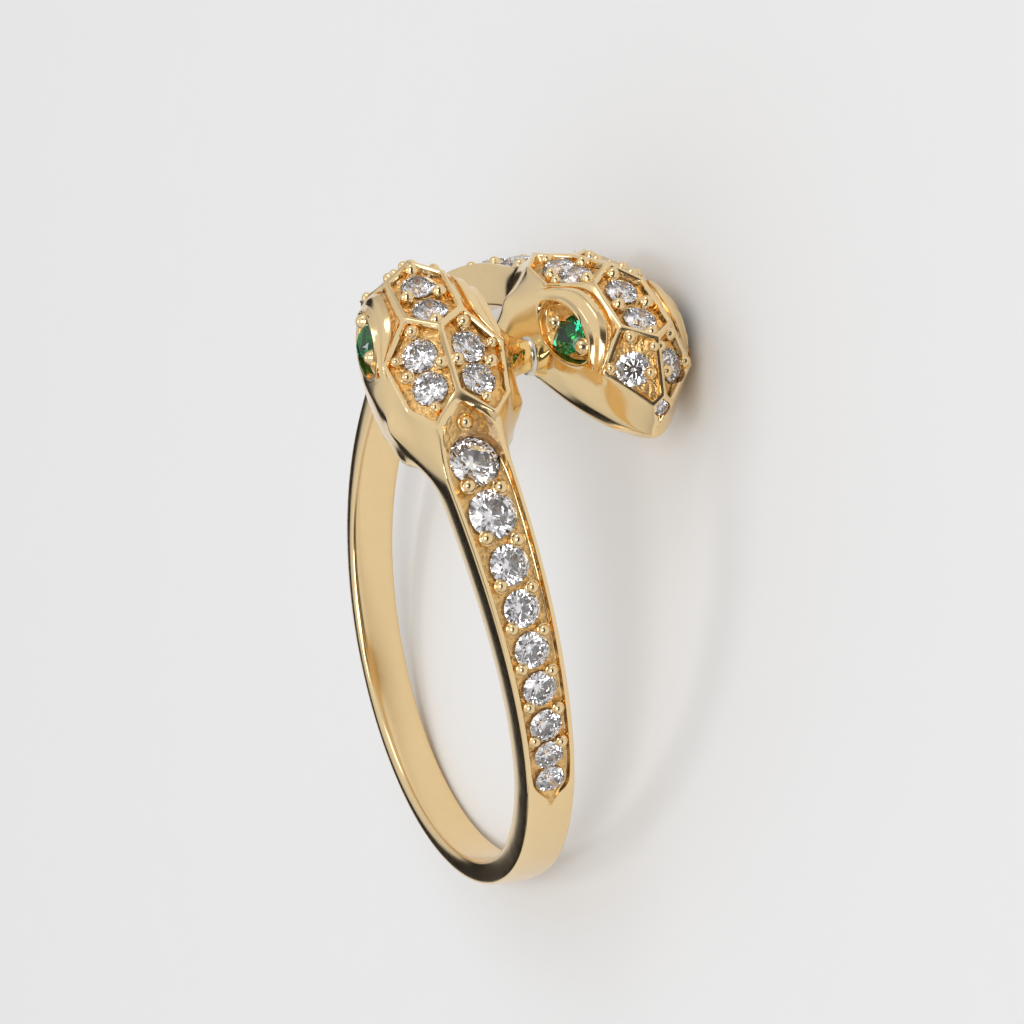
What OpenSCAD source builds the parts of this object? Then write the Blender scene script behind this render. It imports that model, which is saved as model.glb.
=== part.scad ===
// Wrap ring of two snakes. The two shanks climb from the foot of the band on opposite sides of the
// finger and end in jewelled heads, which lie side by side at the top and point opposite ways.
// The ring is worked out upright, with the finger along X and the heads up, and then laid on its side.

/* [Finger] */
// Inside diameter of the band
bore_d = 17; // [16:0.25:18]

/* [Band] */
// Width of the band at its foot
band_w = 1.4; // [1.3:0.05:1.6]
// Thickness of the band at its foot
band_t = 0.7; // [0.6:0.05:0.8]
// Width of each shank where its head begins
neck_w = 2.1; // [2:0.05:2.3]
// Thickness of each shank where its head begins
neck_t = 1.4; // [1.3:0.05:1.5]
// Width of each shank's inside face at the top of the ring
seat_w = 1.72; // [1.6:0.04:1.88]
// Sideways lean of each shank at the top of the ring
lean = 2.85; // [2.7:0.05:3]
// Rise of the rounded outside face above its edges, at the foot
crown_h = 0.12; // [0.06:0.01:0.14]

/* [Heads] */
// Length of a head from its collar to the tip of its nose
head_l = 6.8; // [6.5:0.1:7.1]
// Width of a head across its jaws
head_w = 4.2; // [4.1:0.02:4.26]
// Height of a head's crest above the finger
head_h = 2.91; // [2.83:0.02:2.99]
// Distance between the middle lines of the two heads
head_spacing = 5.94; // [5.9:0.02:6.1]
// Angle by which the left head turns inwards
left_turn_in = 1.8; // [0.8:0.5:2.8]
// Angle by which the right head turns outwards
right_turn_out = 5.1; // [4.1:0.5:6.1]
// Angle by which the left head leans outwards
left_lean = 10.5; // [9.5:0.5:11.5]
// Angle by which the right head leans outwards
right_lean = 4.3; // [3.3:0.5:5.3]
// Angle by which the left head is lifted
left_lift = 6.4; // [5.4:0.5:7.4]
// Angle by which the right head is lifted
right_lift = 10.1; // [9.1:0.5:11.1]

/* [Cells and channel] */
// Width of the ridges between the cells
ridge_w = 0.24; // [0.2:0.01:0.28]
// Depth of the cells
cell_h = 0.22; // [0.18:0.01:0.26]
// Depth of the groove along each brow
brow_h = 0.1; // [0.06:0.01:0.14]
// Width of the rims beside the row of stones on a shank
rim_w = 0.14; // [0.12:0.01:0.18]
// Depth of the channel that holds the row
channel_h = 0.16; // [0.12:0.01:0.2]

/* [Stones] */
// Diameter of the stones in the cells
cell_stone_d = 1; // [0.92:0.02:1.02]
// Diameter of the stone on the nose
nose_stone_d = 0.46; // [0.4:0.02:0.48]
// Diameter of the green eyes
eye_stone_d = 1.16; // [1.08:0.02:1.18]
// Angle by which the eyes look up out of their sockets
eye_look_up = 26; // [22:1:28]
// Diameter of the largest stone of the row on a shank
row_stone_d = 1.46; // [1.4:0.02:1.48]
// Space between the stones of the row
row_gap = 0.155; // [0.145:0.005:0.175]
// Diameter of the prong beads
bead_d = 0.32; // [0.28:0.01:0.34]
// Gap between a stone and the metal round it
stone_gap = 0.02; // [0.015:0.005:0.03]

/* [Solder link] */
// Diameter of the bar that joins the heads
link_d = 1; // [0.9:0.05:1.1]
// Height of the bar's middle above the finger
link_h = 0.65; // [0.65:0.05:0.8]
// Diameter of the solder seam round the bar
seam_d = 1.16; // [1.14:0.02:1.24]

/* [Hidden] */
bore_r = bore_d / 2;
// The metal is first made this far inside the finger's hole, which is then cut true
bore_spare = 0.3;

// Angles round the ring from its foot: where a shank meets its head, and where its channel begins
neck_a = 156;
row_low_a = 94.5;
shank_steps = 24;
shown_bore_steps = 72;

// Net of a head's left half. Columns: name, share of the head's length in front of its crest stone,
// share of half its width, share of its height below the crest
NET = [
  ["nape",         -0.424, 0.00, 0.137], ["crest back",    -0.151, 0.00, -0.096],
  ["crest front",   0.326, 0.00, 0.144], ["nose top",       0.460, 0.00, 0.619],
  ["nose front",    0.468, 0.00, 0.986], ["tip",            0.474, 0.00, 1.089],
  ["chin",          0.409, 0.00, 1.220],
  ["side back",    -0.046, 0.40, -0.017], ["side front",    0.224, 0.41, 0.131],
  ["brow back",    -0.203, 0.83, 0.179], ["shoulder",      -0.441, 0.70, 0.268],
  ["collar",       -0.547, 0.41, 0.247], ["cheek top",      0.300, 0.70, 0.533],
  ["nose side",     0.463, 0.15, 0.729],
  ["lid back",     -0.072, 0.67, 0.065], ["lid",            0.074, 0.63, 0.096],
  ["lid front",     0.191, 0.62, 0.192],
  ["eye back",     -0.216, 0.88, 0.326], ["eye upper back", -0.074, 0.80, 0.148],
  ["eye upper",     0.066, 0.77, 0.162], ["eye upper front", 0.182, 0.74, 0.285],
  ["eye front",     0.244, 0.76, 0.550], ["eye lower front", 0.110, 0.91, 0.691],
  ["eye lower",    -0.035, 0.97, 0.660], ["eye lower back", -0.151, 0.96, 0.546],
  ["jaw back",     -0.262, 1.00, 0.532], ["jaw widest",    -0.069, 1.00, 0.718],
  ["lip back",      0.090, 0.92, 0.842], ["lip",            0.209, 0.78, 0.924],
  ["lip middle",    0.310, 0.60, 0.976], ["lip front",      0.394, 0.38, 1.017],
  ["nostril",       0.450, 0.186, 1.048],
  ["neck side",    -0.400, 0.96, 0.560],
  ["under neck",   -0.440, 0.78, 1.065], ["under back",    -0.290, 0.89, 1.045],
  ["under widest", -0.134, 0.93, 1.065], ["under eye",      0.012, 0.87, 1.113],
  ["under cheek",   0.150, 0.69, 1.165], ["under lip",      0.268, 0.47, 1.189],
  ["under chin",    0.365, 0.26, 1.203]
];

// Extra reach of the right head's neck towards the left head. Columns: name, share of half its width
RIGHT_REACH = [["neck side", 0.12], ["under neck", 0.45], ["under back", 0.36], ["under widest", 0.12]];

// Cells of a head's left half, corners in turn seen from outside
CENTRE_CELL = ["crest front", "side front", "side back", "crest back"];
BACK_CELL = ["crest back", "side back", "brow back", "shoulder", "collar", "nape"];
FRONT_CELL = ["crest front", "nose top", "nose side", "cheek top", "side front"];
NOSE_CELL = ["nose front", "nose side", "nose top"];
EYE_SOCKET = ["eye back", "eye upper back", "eye upper", "eye upper front",
              "eye front", "eye lower front", "eye lower", "eye lower back"];

// Faces of the left half that are not cells, corners in turn seen from outside
SKIN = [
  ["brow back", "side back", "lid back"],
  ["side back", "lid", "lid back"],
  ["side back", "side front", "lid"],
  ["side front", "lid front", "lid"],
  ["side front", "cheek top", "lid front"],
  ["brow back", "lid back", "eye upper back", "eye back"],
  ["lid back", "lid", "eye upper", "eye upper back"],
  ["lid", "lid front", "eye upper front", "eye upper"],
  ["lid front", "cheek top", "eye front", "eye upper front"],
  ["cheek top", "nose side", "lip front", "lip middle"],
  ["cheek top", "lip middle", "lip", "eye front"],
  ["eye front", "lip", "lip back", "eye lower front"],
  ["eye lower front", "lip back", "jaw widest", "eye lower"],
  ["eye lower", "jaw widest", "jaw back", "eye lower back"],
  ["eye lower back", "jaw back", "eye back"],
  ["nose side", "nose front", "tip", "nostril", "lip front"],
  ["brow back", "eye back", "jaw back", "neck side", "shoulder"],
  ["jaw back", "under back", "under neck", "neck side"],
  ["jaw back", "jaw widest", "under widest", "under back"],
  ["jaw widest", "lip back", "under eye", "under widest"],
  ["lip back", "lip", "under cheek", "under eye"],
  ["lip", "lip middle", "under lip", "under cheek"],
  ["lip middle", "lip front", "under chin", "under lip"],
  ["lip front", "nostril", "chin", "under chin"],
  ["nostril", "tip", "chin"]
];
// Points along the under edge of the left half, from the neck forwards
UNDER = ["under neck", "under back", "under widest", "under eye", "under cheek", "under lip",
         "under chin"];

// Stones of a head. Columns: cell, share of the head's length forwards, share of half its width
// sideways, share of a cell stone's diameter
HEAD_STONES = [
  ["centre", 0.000, 0.00, 1.00], ["centre", 0.175, 0.00, 1.00],
  ["back",  -0.221, 0.36, 1.00], ["back",  -0.369, 0.36, 1.00],
  ["front",  0.345, 0.33, 1.00], ["nose",   0.452, 0.00, nose_stone_d / cell_stone_d],
  ["eye",    0.050, 0.84, eye_stone_d / cell_stone_d]
];
// Prong beads of a head's left half and middle line. Columns: cell, shares forwards and sideways,
// share of a full bead
HEAD_BEADS = [
  ["centre", -0.094, 0.00, 1.0], ["centre", 0.094, 0.22, 1.0], ["centre", 0.272, 0.00, 1.0],
  ["back", -0.118, 0.36, 1.0], ["back", -0.290, 0.12, 1.0], ["back", -0.294, 0.58, 1.0],
  ["back", -0.212, 0.66, 0.75], ["back", -0.460, 0.36, 0.8],
  ["front", 0.270, 0.32, 1.0], ["front", 0.335, 0.06, 0.9],
  ["front", 0.385, 0.14, 0.9], ["front", 0.300, 0.60, 0.9],
  ["eye", -0.075, 0.88, 0.9], ["eye", 0.165, 0.80, 0.9]
];

// Row of stones down a shank. Columns: share of the largest stone's diameter, share of the gap before it
ROW = [[1, 0], [0.96, 0.95], [0.79, 1.25], [0.73, 0.9], [0.71, 1], [0.69, 0.95], [0.67, 1.2],
       [0.6, 0.5], [0.6, 0.2]];
row_top_a = 156.5;
row_bead_pairs = 7;

// Shape of a brilliant, as shares of its diameter
TABLE = 0.56;
CROWN = 0.15;
PAVILION = 0.42;
GIRDLE = 0.03;
SIDES = 16;

// Vectors
function unit(v) = v / norm(v);
function sum(v, i = 0) = i == len(v) ? 0 : v[i] + sum(v, i + 1);
function sum3(v) = [for (k = [0:2]) sum([for (p = v) p[k]])];
function middle(pts) = sum3(pts) / len(pts);
function between(a, b, t) = a * (1 - t) + b * t;
function reversed(v) = [for (i = [len(v) - 1:-1:0]) v[i]];
// Outward direction of a loop of points that runs anticlockwise seen from outside
function outward(pts) = unit(sum3([for (i = [0:len(pts) - 1]) cross(pts[i], pts[(i + 1) % len(pts)])]));
// A loop drawn inwards by w along its own faces
function inset(pts, w) = let (n = len(pts), up = outward(pts))
  [for (i = [0:n - 1]) let (a = unit(pts[(i + n - 1) % n] - pts[i]), b = unit(pts[(i + 1) % n] - pts[i]),
    d = unit(cross(up, unit(b - a)))) pts[i] + d * w / abs(d * unit(cross(up, b)))];

// Shank, in sections square to the band. a is the angle from the foot, up towards the head
function rise(a) = (1 - cos(a)) / 2;
function share(a) = rise(a) / rise(neck_a);
function lean_at(a) = -lean * pow(rise(a), 2);
function outer_r(a) = bore_r + band_t + (neck_t - band_t) * pow(share(a), 1.3);
function crown_at(a) = crown_h * max(0, 1 - rise(a) / rise(row_low_a));
function outer_w(a) = (band_w + (neck_w - band_w) * pow(max(0, (share(a) - 0.45) / 0.55), 2)) / 2;
function inner_w(a) = (band_w + (seat_w - band_w) * rise(a)) / 2;
// Point of a shank: side is its distance from the shank's middle, positive on the outside of the ring
function on_shank(a, side, r) = [lean_at(a) - side, -r * sin(a), -r * cos(a)];
function section(a) = let (o = outer_w(a), i = inner_w(a), r = outer_r(a), c = crown_at(a),
                           half = [[i, bore_r - bore_spare], [(i + o) / 2 + 0.03, (bore_r + r - c) / 2],
                                   [o, r - c], [o * 0.55, r - c * 0.25]])
  concat([for (p = half) on_shank(a, p[0], p[1])], [on_shank(a, 0, r)],
         [for (j = [3:-1:0]) on_shank(a, -half[j][0], half[j][1])]);
SECTION_POINTS = 9;

// Frame of head k: forwards, to the snake's left, up, and where its crest is
function head_frame(k) =
  let (yaw = [-left_turn_in, right_turn_out][k], lift = [left_lift, right_lift][k],
       roll = [left_lean, right_lean][k],
       f = [-sin(yaw) * cos(lift), cos(yaw) * cos(lift), sin(lift)],
       level = unit(cross([0, 0, 1], f)), up = cross(f, level))
  [f, level * cos(roll) - up * sin(roll), level * sin(roll) + up * cos(roll),
   [-head_spacing / 2, 0, bore_r + head_h]];
function to_ring(k, p) = let (h = head_frame(k)) h[3] + p[0] * h[0] + p[1] * h[1] + p[2] * h[2];

// Points of the net in the head's own frame: forwards, left, up
function on_head(s, l, n) = [s * head_l, l * head_w / 2, -n * head_h];
function net(name, turn = 1) = let (r = NET[search([name], NET)[0]]) on_head(r[1], turn * r[2], r[3]);
function loop(names, turn = 1) = let (pts = [for (n = names) net(n, turn)]) turn > 0 ? pts : reversed(pts);
function both_sides(names) = concat(loop(names), [for (i = [len(names) - 2:-1:1]) net(names[i], -1)]);
function cell(name, turn) =
  name == "centre" ? both_sides(CENTRE_CELL) :
  name == "nose" ? both_sides(NOSE_CELL) :
  loop(name == "back" ? BACK_CELL : name == "front" ? FRONT_CELL : EYE_SOCKET, turn);
function cell_up(name, turn) = outward(cell(name, turn));
// Point of a cell's face above the given shares of length and width
function on_cell(name, turn, s, l) =
  let (c = middle(cell(name, turn)), up = cell_up(name, turn), x = s * head_l, y = turn * l * head_w / 2)
  name == "nose" || name == "eye" ?
    let (w = name == "nose" ? [c[0], 0, c[2]] : [x, c[1], c[2]]) w - up * ((w - c) * up) :
    [x, y, c[2] - ((x - c[0]) * up[0] + (y - c[1]) * up[1]) / up[2]];

// One snake's metal as a closed skin: the shank's sections, then the head's net
sections = [for (i = [0:shank_steps]) section(neck_a * i / shank_steps)];
net_at = len(sections) * SECTION_POINTS;
function reach(k, turn, name) = let (i = search([name], RIGHT_REACH)[0])
  k == 1 && turn < 0 && is_num(i) ? RIGHT_REACH[i][1] : 0;
function skin_points(k) = concat([for (s = sections) each s],
  [for (turn = [1, -1], r = NET) to_ring(k, on_head(r[1], turn * (r[2] + reach(k, turn, r[0])), r[3]))]);
function index(name, turn = 1) = let (i = search([name], NET)[0])
  net_at + i + (turn > 0 || NET[i][2] == 0 ? 0 : len(NET));
function face(names, turn = 1) = let (f = [for (n = names) index(n, turn)]) turn > 0 ? f : reversed(f);
last = net_at - SECTION_POINTS;
tube_faces = [for (i = [0:shank_steps - 1], j = [0:SECTION_POINTS - 1])
  let (a = i * SECTION_POINTS, b = a + SECTION_POINTS, k = (j + 1) % SECTION_POINTS)
  [a + k, b + k, b + j, a + j]];
head_faces = [for (turn = [1, -1], f = concat(SKIN, [BACK_CELL, FRONT_CELL, EYE_SOCKET])) face(f, turn)];
middle_faces = [
  concat(face(CENTRE_CELL), [for (n = ["side back", "side front"]) index(n, -1)]),
  concat(face(NOSE_CELL), [index("nose side", -1)]),
  [for (j = [SECTION_POINTS - 1:-1:0]) j],
  [index("under chin"), index("chin"), index("under chin", -1)],
  [last, index("under neck"), index("under neck", -1), last + 8]
];
under_faces = [for (i = [0:len(UNDER) - 2])
  [index(UNDER[i]), index(UNDER[i + 1]), index(UNDER[i + 1], -1), index(UNDER[i], -1)]];
collar_faces = [
  [last + 4, index("nape"), index("collar"), last + 2, last + 3],
  [last + 4, last + 5, last + 6, index("collar", -1), index("nape")],
  [index("collar"), index("shoulder"), index("neck side"), last + 1, last + 2],
  [last + 6, last + 7, index("neck side", -1), index("shoulder", -1), index("collar", -1)],
  [index("neck side"), index("under neck"), last, last + 1],
  [last + 7, last + 8, index("under neck", -1), index("neck side", -1)]
];
skin_faces = concat(tube_faces, head_faces, middle_faces, under_faces, collar_faces);

// A closed solid from points and many-sided faces: a face with over four corners is a fan round its middle
module solid(points, faces) {
  wide = [for (f = faces) if (len(f) > 4) f];
  middles = [for (f = wide) middle([for (i = f) points[i]])];
  fans = [for (j = [0:1:len(wide) - 1], i = [0:len(wide[j]) - 1])
    [wide[j][i], wide[j][(i + 1) % len(wide[j])], len(points) + j]];
  flat = [for (f = faces) if (len(f) < 5) each len(f) == 3 ? [f] : [[f[0], f[1], f[2]], [f[0], f[2], f[3]]]];
  polyhedron(concat(points, middles), [for (f = concat(fans, flat)) reversed(f)]);
}
module snake_skin(k) solid(skin_points(k), skin_faces);

// Cutter for a cell: its floor follows the loop at a depth, its walls slope, and its top stands clear
POCKET_TOP = 0.3;
WALL_SLOPE = 0.5;
module pocket(pts, margin, depth) {
  up = outward(pts);
  top = inset(pts, margin - WALL_SLOPE * POCKET_TOP);
  floor = inset(pts, margin + WALL_SLOPE * depth);
  n = len(pts);
  solid(concat([for (p = top) p + up * POCKET_TOP], [for (p = floor) p - up * depth]),
        concat([[for (i = [0:n - 1]) i]], [[for (i = [n - 1:-1:0]) n + i]],
               [for (i = [0:n - 1]) [i, n + i, n + (i + 1) % n, (i + 1) % n]]));
}
// Cutter for a groove, from cross sections of four points: the top's two sides, then the floor's two
module groove(rows) {
  n = len(rows);
  solid([for (r = rows) each r],
        concat([[3, 2, 1, 0]], [for (i = [0:n - 2], j = [0:3]) [4 * i + j, 4 * i + (j + 1) % 4,
                4 * i + 4 + (j + 1) % 4, 4 * i + 4 + j]], [[for (j = [0:3]) 4 * n - 4 + j]]));
}
// Groove between two lines of points, with a depth at each
GROOVE_TOP = 0.3;
function groove_rows(left, right, ups, depths) = [for (i = [0:len(left) - 1])
  [left[i] + ups[i] * GROOVE_TOP, left[i] - ups[i] * depths[i],
   right[i] - ups[i] * depths[i], right[i] + ups[i] * GROOVE_TOP]];

// The groove along a brow, between the stones' border and the eye's lid
module brow_groove(turn) {
  border = [net("brow back"), net("side back"), between(net("side back"), net("side front"), 0.5),
            net("side front"), net("cheek top")];
  lids = [net("lid back"), net("lid back"), net("lid"), net("lid front"), net("lid front")];
  // The groove's corners are kept a little in front of the skin's own corners
  shift = [0.06, 0, 0];
  outer = [for (i = [0:4]) between(border[i], lids[i], i == 0 || i == 4 ? 0.55 : 0.3) + shift];
  inner = [for (i = [0:4]) between(border[i], lids[i], i == 0 || i == 4 ? 0.62 : 0.82) + shift];
  up = unit(cross(net("side front") - net("side back"), net("lid") - net("side back")));
  mirror([0, turn < 0 ? 1 : 0, 0])
    groove(groove_rows(outer, inner, [for (i = [0:4]) up], brow_h * [0.2, 1, 1, 1, 0.2]));
}

// The channel down a shank, from its low point up to the head's nape
function channel_half(a) = (outer_w(a) - rim_w) * min(1, (a - row_low_a + 0.4) / 4);
channel_a = [row_low_a, for (i = [0:14]) between(row_low_a + 3.6, neck_a - 1, i / 14)];
module channel(k) {
  slope = unit(to_ring(k, net("nape")) - on_shank(neck_a, 0, outer_r(neck_a)));
  slope_up = unit(cross([1, 0, 0], slope));
  foot = on_shank(neck_a, 0, outer_r(neck_a));
  apex = to_ring(k, net("nape"));
  ups = concat([for (a = channel_a) [0, -sin(a), -cos(a)]], [for (i = [0:2]) slope_up]);
  centres = concat([for (a = channel_a) on_shank(a, 0, outer_r(a))],
                   [for (t = [0.04, 0.4, 0.9]) between(foot, apex, t)]);
  halves = concat([for (a = channel_a) channel_half(a)],
                  [channel_half(neck_a), channel_half(neck_a) * 0.9, 0.04]);
  depths = concat([0.02], [for (i = [1:len(channel_a) - 1]) channel_h], [channel_h, channel_h, 0.02]);
  groove(groove_rows([for (i = [0:len(centres) - 1]) centres[i] + [halves[i], 0, 0]],
                     [for (i = [0:len(centres) - 1]) centres[i] - [halves[i], 0, 0]], ups, depths));
}

// Stones and beads are set turned by this angle, so no corner falls on a ridge's line
set_turn = 8;
// Where things are set. A place has its point and its outward direction; z runs outwards there
module at_place(point, up) {
  z = unit(up);
  x = unit(cross(abs(z[1]) > 0.9 ? [1, 0, 0] : [0, 1, 0], z));
  y = cross(z, x);
  multmatrix([[x[0], y[0], z[0], point[0]], [x[1], y[1], z[1], point[1]], [x[2], y[2], z[2], point[2]]])
    rotate([0, 0, set_turn]) children();
}
module on_snake(k) rotate([0, 0, 180 * k]) children();
module in_head(k) {
  h = head_frame(k);
  multmatrix([for (i = [0:2]) [h[0][i], h[1][i], h[2][i], h[3][i]]]) children();
}
function head_stone_d(i) = cell_stone_d * HEAD_STONES[i][3];
// An eye is turned upwards from its socket and stands a little higher in it than the other stones
EYE_SINK = 0.09;
function eye_up(turn) =
  let (up = cell_up("eye", turn), level = unit([up[0], up[1], 0]), angle = asin(up[2]) + eye_look_up)
  level * cos(angle) + [0, 0, sin(angle)];
module at_head_stone(i, turn) {
  row = HEAD_STONES[i];
  up = cell_up(row[0], turn);
  sink = row[0] == "eye" ? EYE_SINK : CROWN;
  at_place(on_cell(row[0], turn, row[1], row[2]) - up * head_stone_d(i) * sink,
           row[0] == "eye" ? eye_up(turn) : up) children();
}
function row_d(i) = row_stone_d * ROW[i][0];
function row_a(i) = i == 0 ? row_top_a :
  row_a(i - 1) - ((row_d(i - 1) + row_d(i)) / 2 + row_gap * ROW[i][1]) / outer_r(row_a(i - 1)) * 180 / PI;
module at_row_stone(i) {
  a = row_a(i);
  up = [0, -sin(a), -cos(a)];
  at_place(on_shank(a, 0, outer_r(a)) - up * row_d(i) * 0.08, up) children();
}
module each_stone(k) {
  in_head(k) {
    for (i = [0, 1, 5]) at_head_stone(i, 1) let ($d = head_stone_d(i)) children();
    for (i = [2, 3, 4, 6], turn = [1, -1]) at_head_stone(i, turn) let ($d = head_stone_d(i)) children();
  }
  for (i = [0:len(ROW) - 1]) at_row_stone(i) let ($d = row_d(i)) children();
}

// Points of a brilliant of diameter d, with its girdle's upper edge at z = 0
function ring_points(n, r, z, turn = 0) =
  [for (i = [0:n - 1]) let (a = 360 * i / n + turn) [r * cos(a), r * sin(a), z]];
module brilliant(d) {
  r = d / 2;
  table_r = r * TABLE;
  star_r = (r + table_r) / 2 * 0.97;
  star_z = d * CROWN * (r - star_r * cos(22.5)) / (r - table_r);
  low_r = r * 0.25;
  low_z = -d * (GIRDLE + PAVILION * (1 - low_r * cos(22.5) / r));
  points = concat(ring_points(8, table_r, d * CROWN), ring_points(8, star_r, star_z, 22.5),
                  ring_points(SIDES, r, 0), ring_points(SIDES, r, -d * GIRDLE),
                  ring_points(8, low_r, low_z, 22.5), [[0, 0, -d * (GIRDLE + PAVILION)]]);
  faces = concat([[for (i = [0:7]) i]],
    [for (i = [0:7]) [i, 8 + i, (i + 1) % 8]],
    [for (i = [0:7]) [i, 8 + (i + 7) % 8, 16 + 2 * i, 8 + i]],
    [for (i = [0:7]) [8 + i, 16 + 2 * i, 17 + 2 * i]],
    [for (i = [0:7]) [8 + i, 17 + 2 * i, 16 + (2 * i + 2) % SIDES]],
    [for (i = [0:SIDES - 1]) [16 + i, 32 + i, 32 + (i + 1) % SIDES, 16 + (i + 1) % SIDES]],
    [for (i = [0:7]) [33 + 2 * i, 32 + 2 * i, 48 + i]],
    [for (i = [0:7]) [32 + (2 * i + 2) % SIDES, 33 + 2 * i, 48 + i]],
    [for (i = [0:7]) [32 + 2 * i, 48 + (i + 7) % 8, 56, 48 + i]]);
  polyhedron(points, [for (f = faces) reversed(f)]);
}
// Hollow that a stone sits in, a gap wider than the stone
module seat(d) {
  r = d / 2 + stone_gap;
  rotate_extrude($fn = SIDES) polygon([
    [0, -d * (GIRDLE + PAVILION) - stone_gap * 2], [r, -d * GIRDLE - stone_gap / 2], [r, stone_gap / 2],
    [d * TABLE / 2 + stone_gap, d * CROWN + stone_gap], [d * TABLE / 2 + stone_gap, 1], [0, 1]]);
}
// Clear space over a stone, cut before its beads are raised
module well(d) translate([0, 0, -d * GIRDLE]) cylinder(h = 1, r = d / 2 + stone_gap * 2, $fn = SIDES);

module bead(size = 1) sphere(d = bead_d * size, $fn = 10);
// Depth of a bead's middle, as a share of the depth of its cell or channel
BEAD_SINK = 1.1;
module head_beads() {
  for (b = HEAD_BEADS, turn = b[2] == 0 ? [1] : [1, -1]) {
    up = cell_up(b[0], turn);
    at_place(on_cell(b[0], turn, b[1], b[2]) - up * cell_h * BEAD_SINK, up) bead(b[3]);
  }
}
// Pairs of beads between the stones of the row, on the rims of the channel
module row_beads() {
  for (i = [0:row_bead_pairs - 1], side = [1, -1]) {
    a = (row_a(i) + row_a(i + 1)) / 2;
    at_place(on_shank(a, side * (outer_w(a) - rim_w - bead_d * 0.4), outer_r(a) - channel_h * BEAD_SINK),
             [0, -sin(a), -cos(a)]) bead();
  }
}

// The two cells on the middle line are cut this far off it, so no corner falls on the line
middle_shift = [0, 0.006, 0];
module snake(k) {
  difference() {
    snake_skin(k);
    channel(k);
    in_head(k) {
      translate(middle_shift) pocket(cell("centre", 1), ridge_w / 2, cell_h);
      for (turn = [1, -1]) {
        pocket(cell("back", turn), ridge_w / 2, cell_h);
        pocket(cell("front", turn), ridge_w / 2, cell_h);
        pocket(cell("eye", turn), 0.05, cell_h);
        brow_groove(turn);
      }
      translate(middle_shift) pocket(cell("nose", 1), ridge_w * 0.3, cell_h / 2);
    }
    at_row_stone(0) well(row_d(0));
    in_head(k) at_head_stone(5, 1) well(head_stone_d(5));
  }
  in_head(k) head_beads();
  row_beads();
}
module link() rotate([0, 90, 0]) {
  cylinder(h = head_spacing - head_w * 0.6, d = link_d, center = true, $fn = 24);
  translate([0, 0, 0.45]) cylinder(h = 0.22, d = seam_d, center = true, $fn = 24);
}

// All the metal is one piece. Its surfaces are made first, and the finger's hole is then cut true
module metal() {
  difference() {
    resize([0, 0, 0]) difference() {
      union() {
        for (k = [0, 1]) on_snake(k) snake(k);
        translate([0, 0, bore_r + link_h]) link();
      }
      for (k = [0, 1]) on_snake(k) each_stone(k) seat($d);
    }
    rotate([0, -90, 0]) cylinder(h = 40, r = bore_r, center = true, $fn = shown_bore_steps);
  }
}

// How the ring lies on its side: on two points of the band's foot and the right head's widest jaw
function turned(p, k) = k == 0 ? p : [-p[0], -p[1], p[2]];
rest_points = [for (i = [1, 2]) sections[i][6], turned(to_ring(1, net("jaw widest")), 1)];
rest_down = unit(cross(rest_points[1] - rest_points[0], rest_points[2] - rest_points[0]));
lie_z = rest_down[0] > 0 ? -rest_down : rest_down;
lie_y = unit(lie_z * lie_z[2] - [0, 0, 1]);
lie_x = cross(lie_y, lie_z);
function lie(p) = [p * lie_x, p * lie_y, p * lie_z];
lying_points = [for (k = [0, 1], p = skin_points(k)) lie(turned(p, k))];
function low(i) = min([for (p = lying_points) p[i]]);
function high(i) = max([for (p = lying_points) p[i]]);
module lying() {
  translate([-(low(0) + high(0)) / 2, -(low(1) + high(1)) / 2, -low(2)])
    multmatrix([for (row = [lie_x, lie_y, lie_z]) [row[0], row[1], row[2], 0]]) children();
}

// Finishes
module gold() color([0.83, 0.6, 0.26]) lying() children();
module gold_body() gold() metal();
function stone_colour(i) = i == 6 ? [0.02, 0.38, 0.2] : [0.93, 0.94, 0.97];
module head_stone(k, i, turn)
  color(stone_colour(i)) lying() on_snake(k) in_head(k) at_head_stone(i, turn) brilliant(head_stone_d(i));
module row_stone(k, i) color(stone_colour(0)) lying() on_snake(k) at_row_stone(i) brilliant(row_d(i));

// One module for each stone: the snake it is on, then its place
module left_row_stone_1() row_stone(0, 0);
module left_row_stone_2() row_stone(0, 1);
module left_row_stone_3() row_stone(0, 2);
module left_row_stone_4() row_stone(0, 3);
module left_row_stone_5() row_stone(0, 4);
module left_row_stone_6() row_stone(0, 5);
module left_row_stone_7() row_stone(0, 6);
module left_row_stone_8() row_stone(0, 7);
module left_row_stone_9() row_stone(0, 8);
module left_crest_stone_1() head_stone(0, 0, 1);
module left_crest_stone_2() head_stone(0, 1, 1);
module left_outer_brow_stone_1() head_stone(0, 2, 1);
module left_outer_brow_stone_2() head_stone(0, 3, 1);
module left_inner_brow_stone_1() head_stone(0, 2, -1);
module left_inner_brow_stone_2() head_stone(0, 3, -1);
module left_outer_cheek_stone() head_stone(0, 4, 1);
module left_inner_cheek_stone() head_stone(0, 4, -1);
module left_nose_stone() head_stone(0, 5, 1);
module left_outer_eye() head_stone(0, 6, 1);
module left_inner_eye() head_stone(0, 6, -1);
module right_row_stone_1() row_stone(1, 0);
module right_row_stone_2() row_stone(1, 1);
module right_row_stone_3() row_stone(1, 2);
module right_row_stone_4() row_stone(1, 3);
module right_row_stone_5() row_stone(1, 4);
module right_row_stone_6() row_stone(1, 5);
module right_row_stone_7() row_stone(1, 6);
module right_row_stone_8() row_stone(1, 7);
module right_row_stone_9() row_stone(1, 8);
module right_crest_stone_1() head_stone(1, 0, 1);
module right_crest_stone_2() head_stone(1, 1, 1);
module right_outer_brow_stone_1() head_stone(1, 2, 1);
module right_outer_brow_stone_2() head_stone(1, 3, 1);
module right_inner_brow_stone_1() head_stone(1, 2, -1);
module right_inner_brow_stone_2() head_stone(1, 3, -1);
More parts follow.
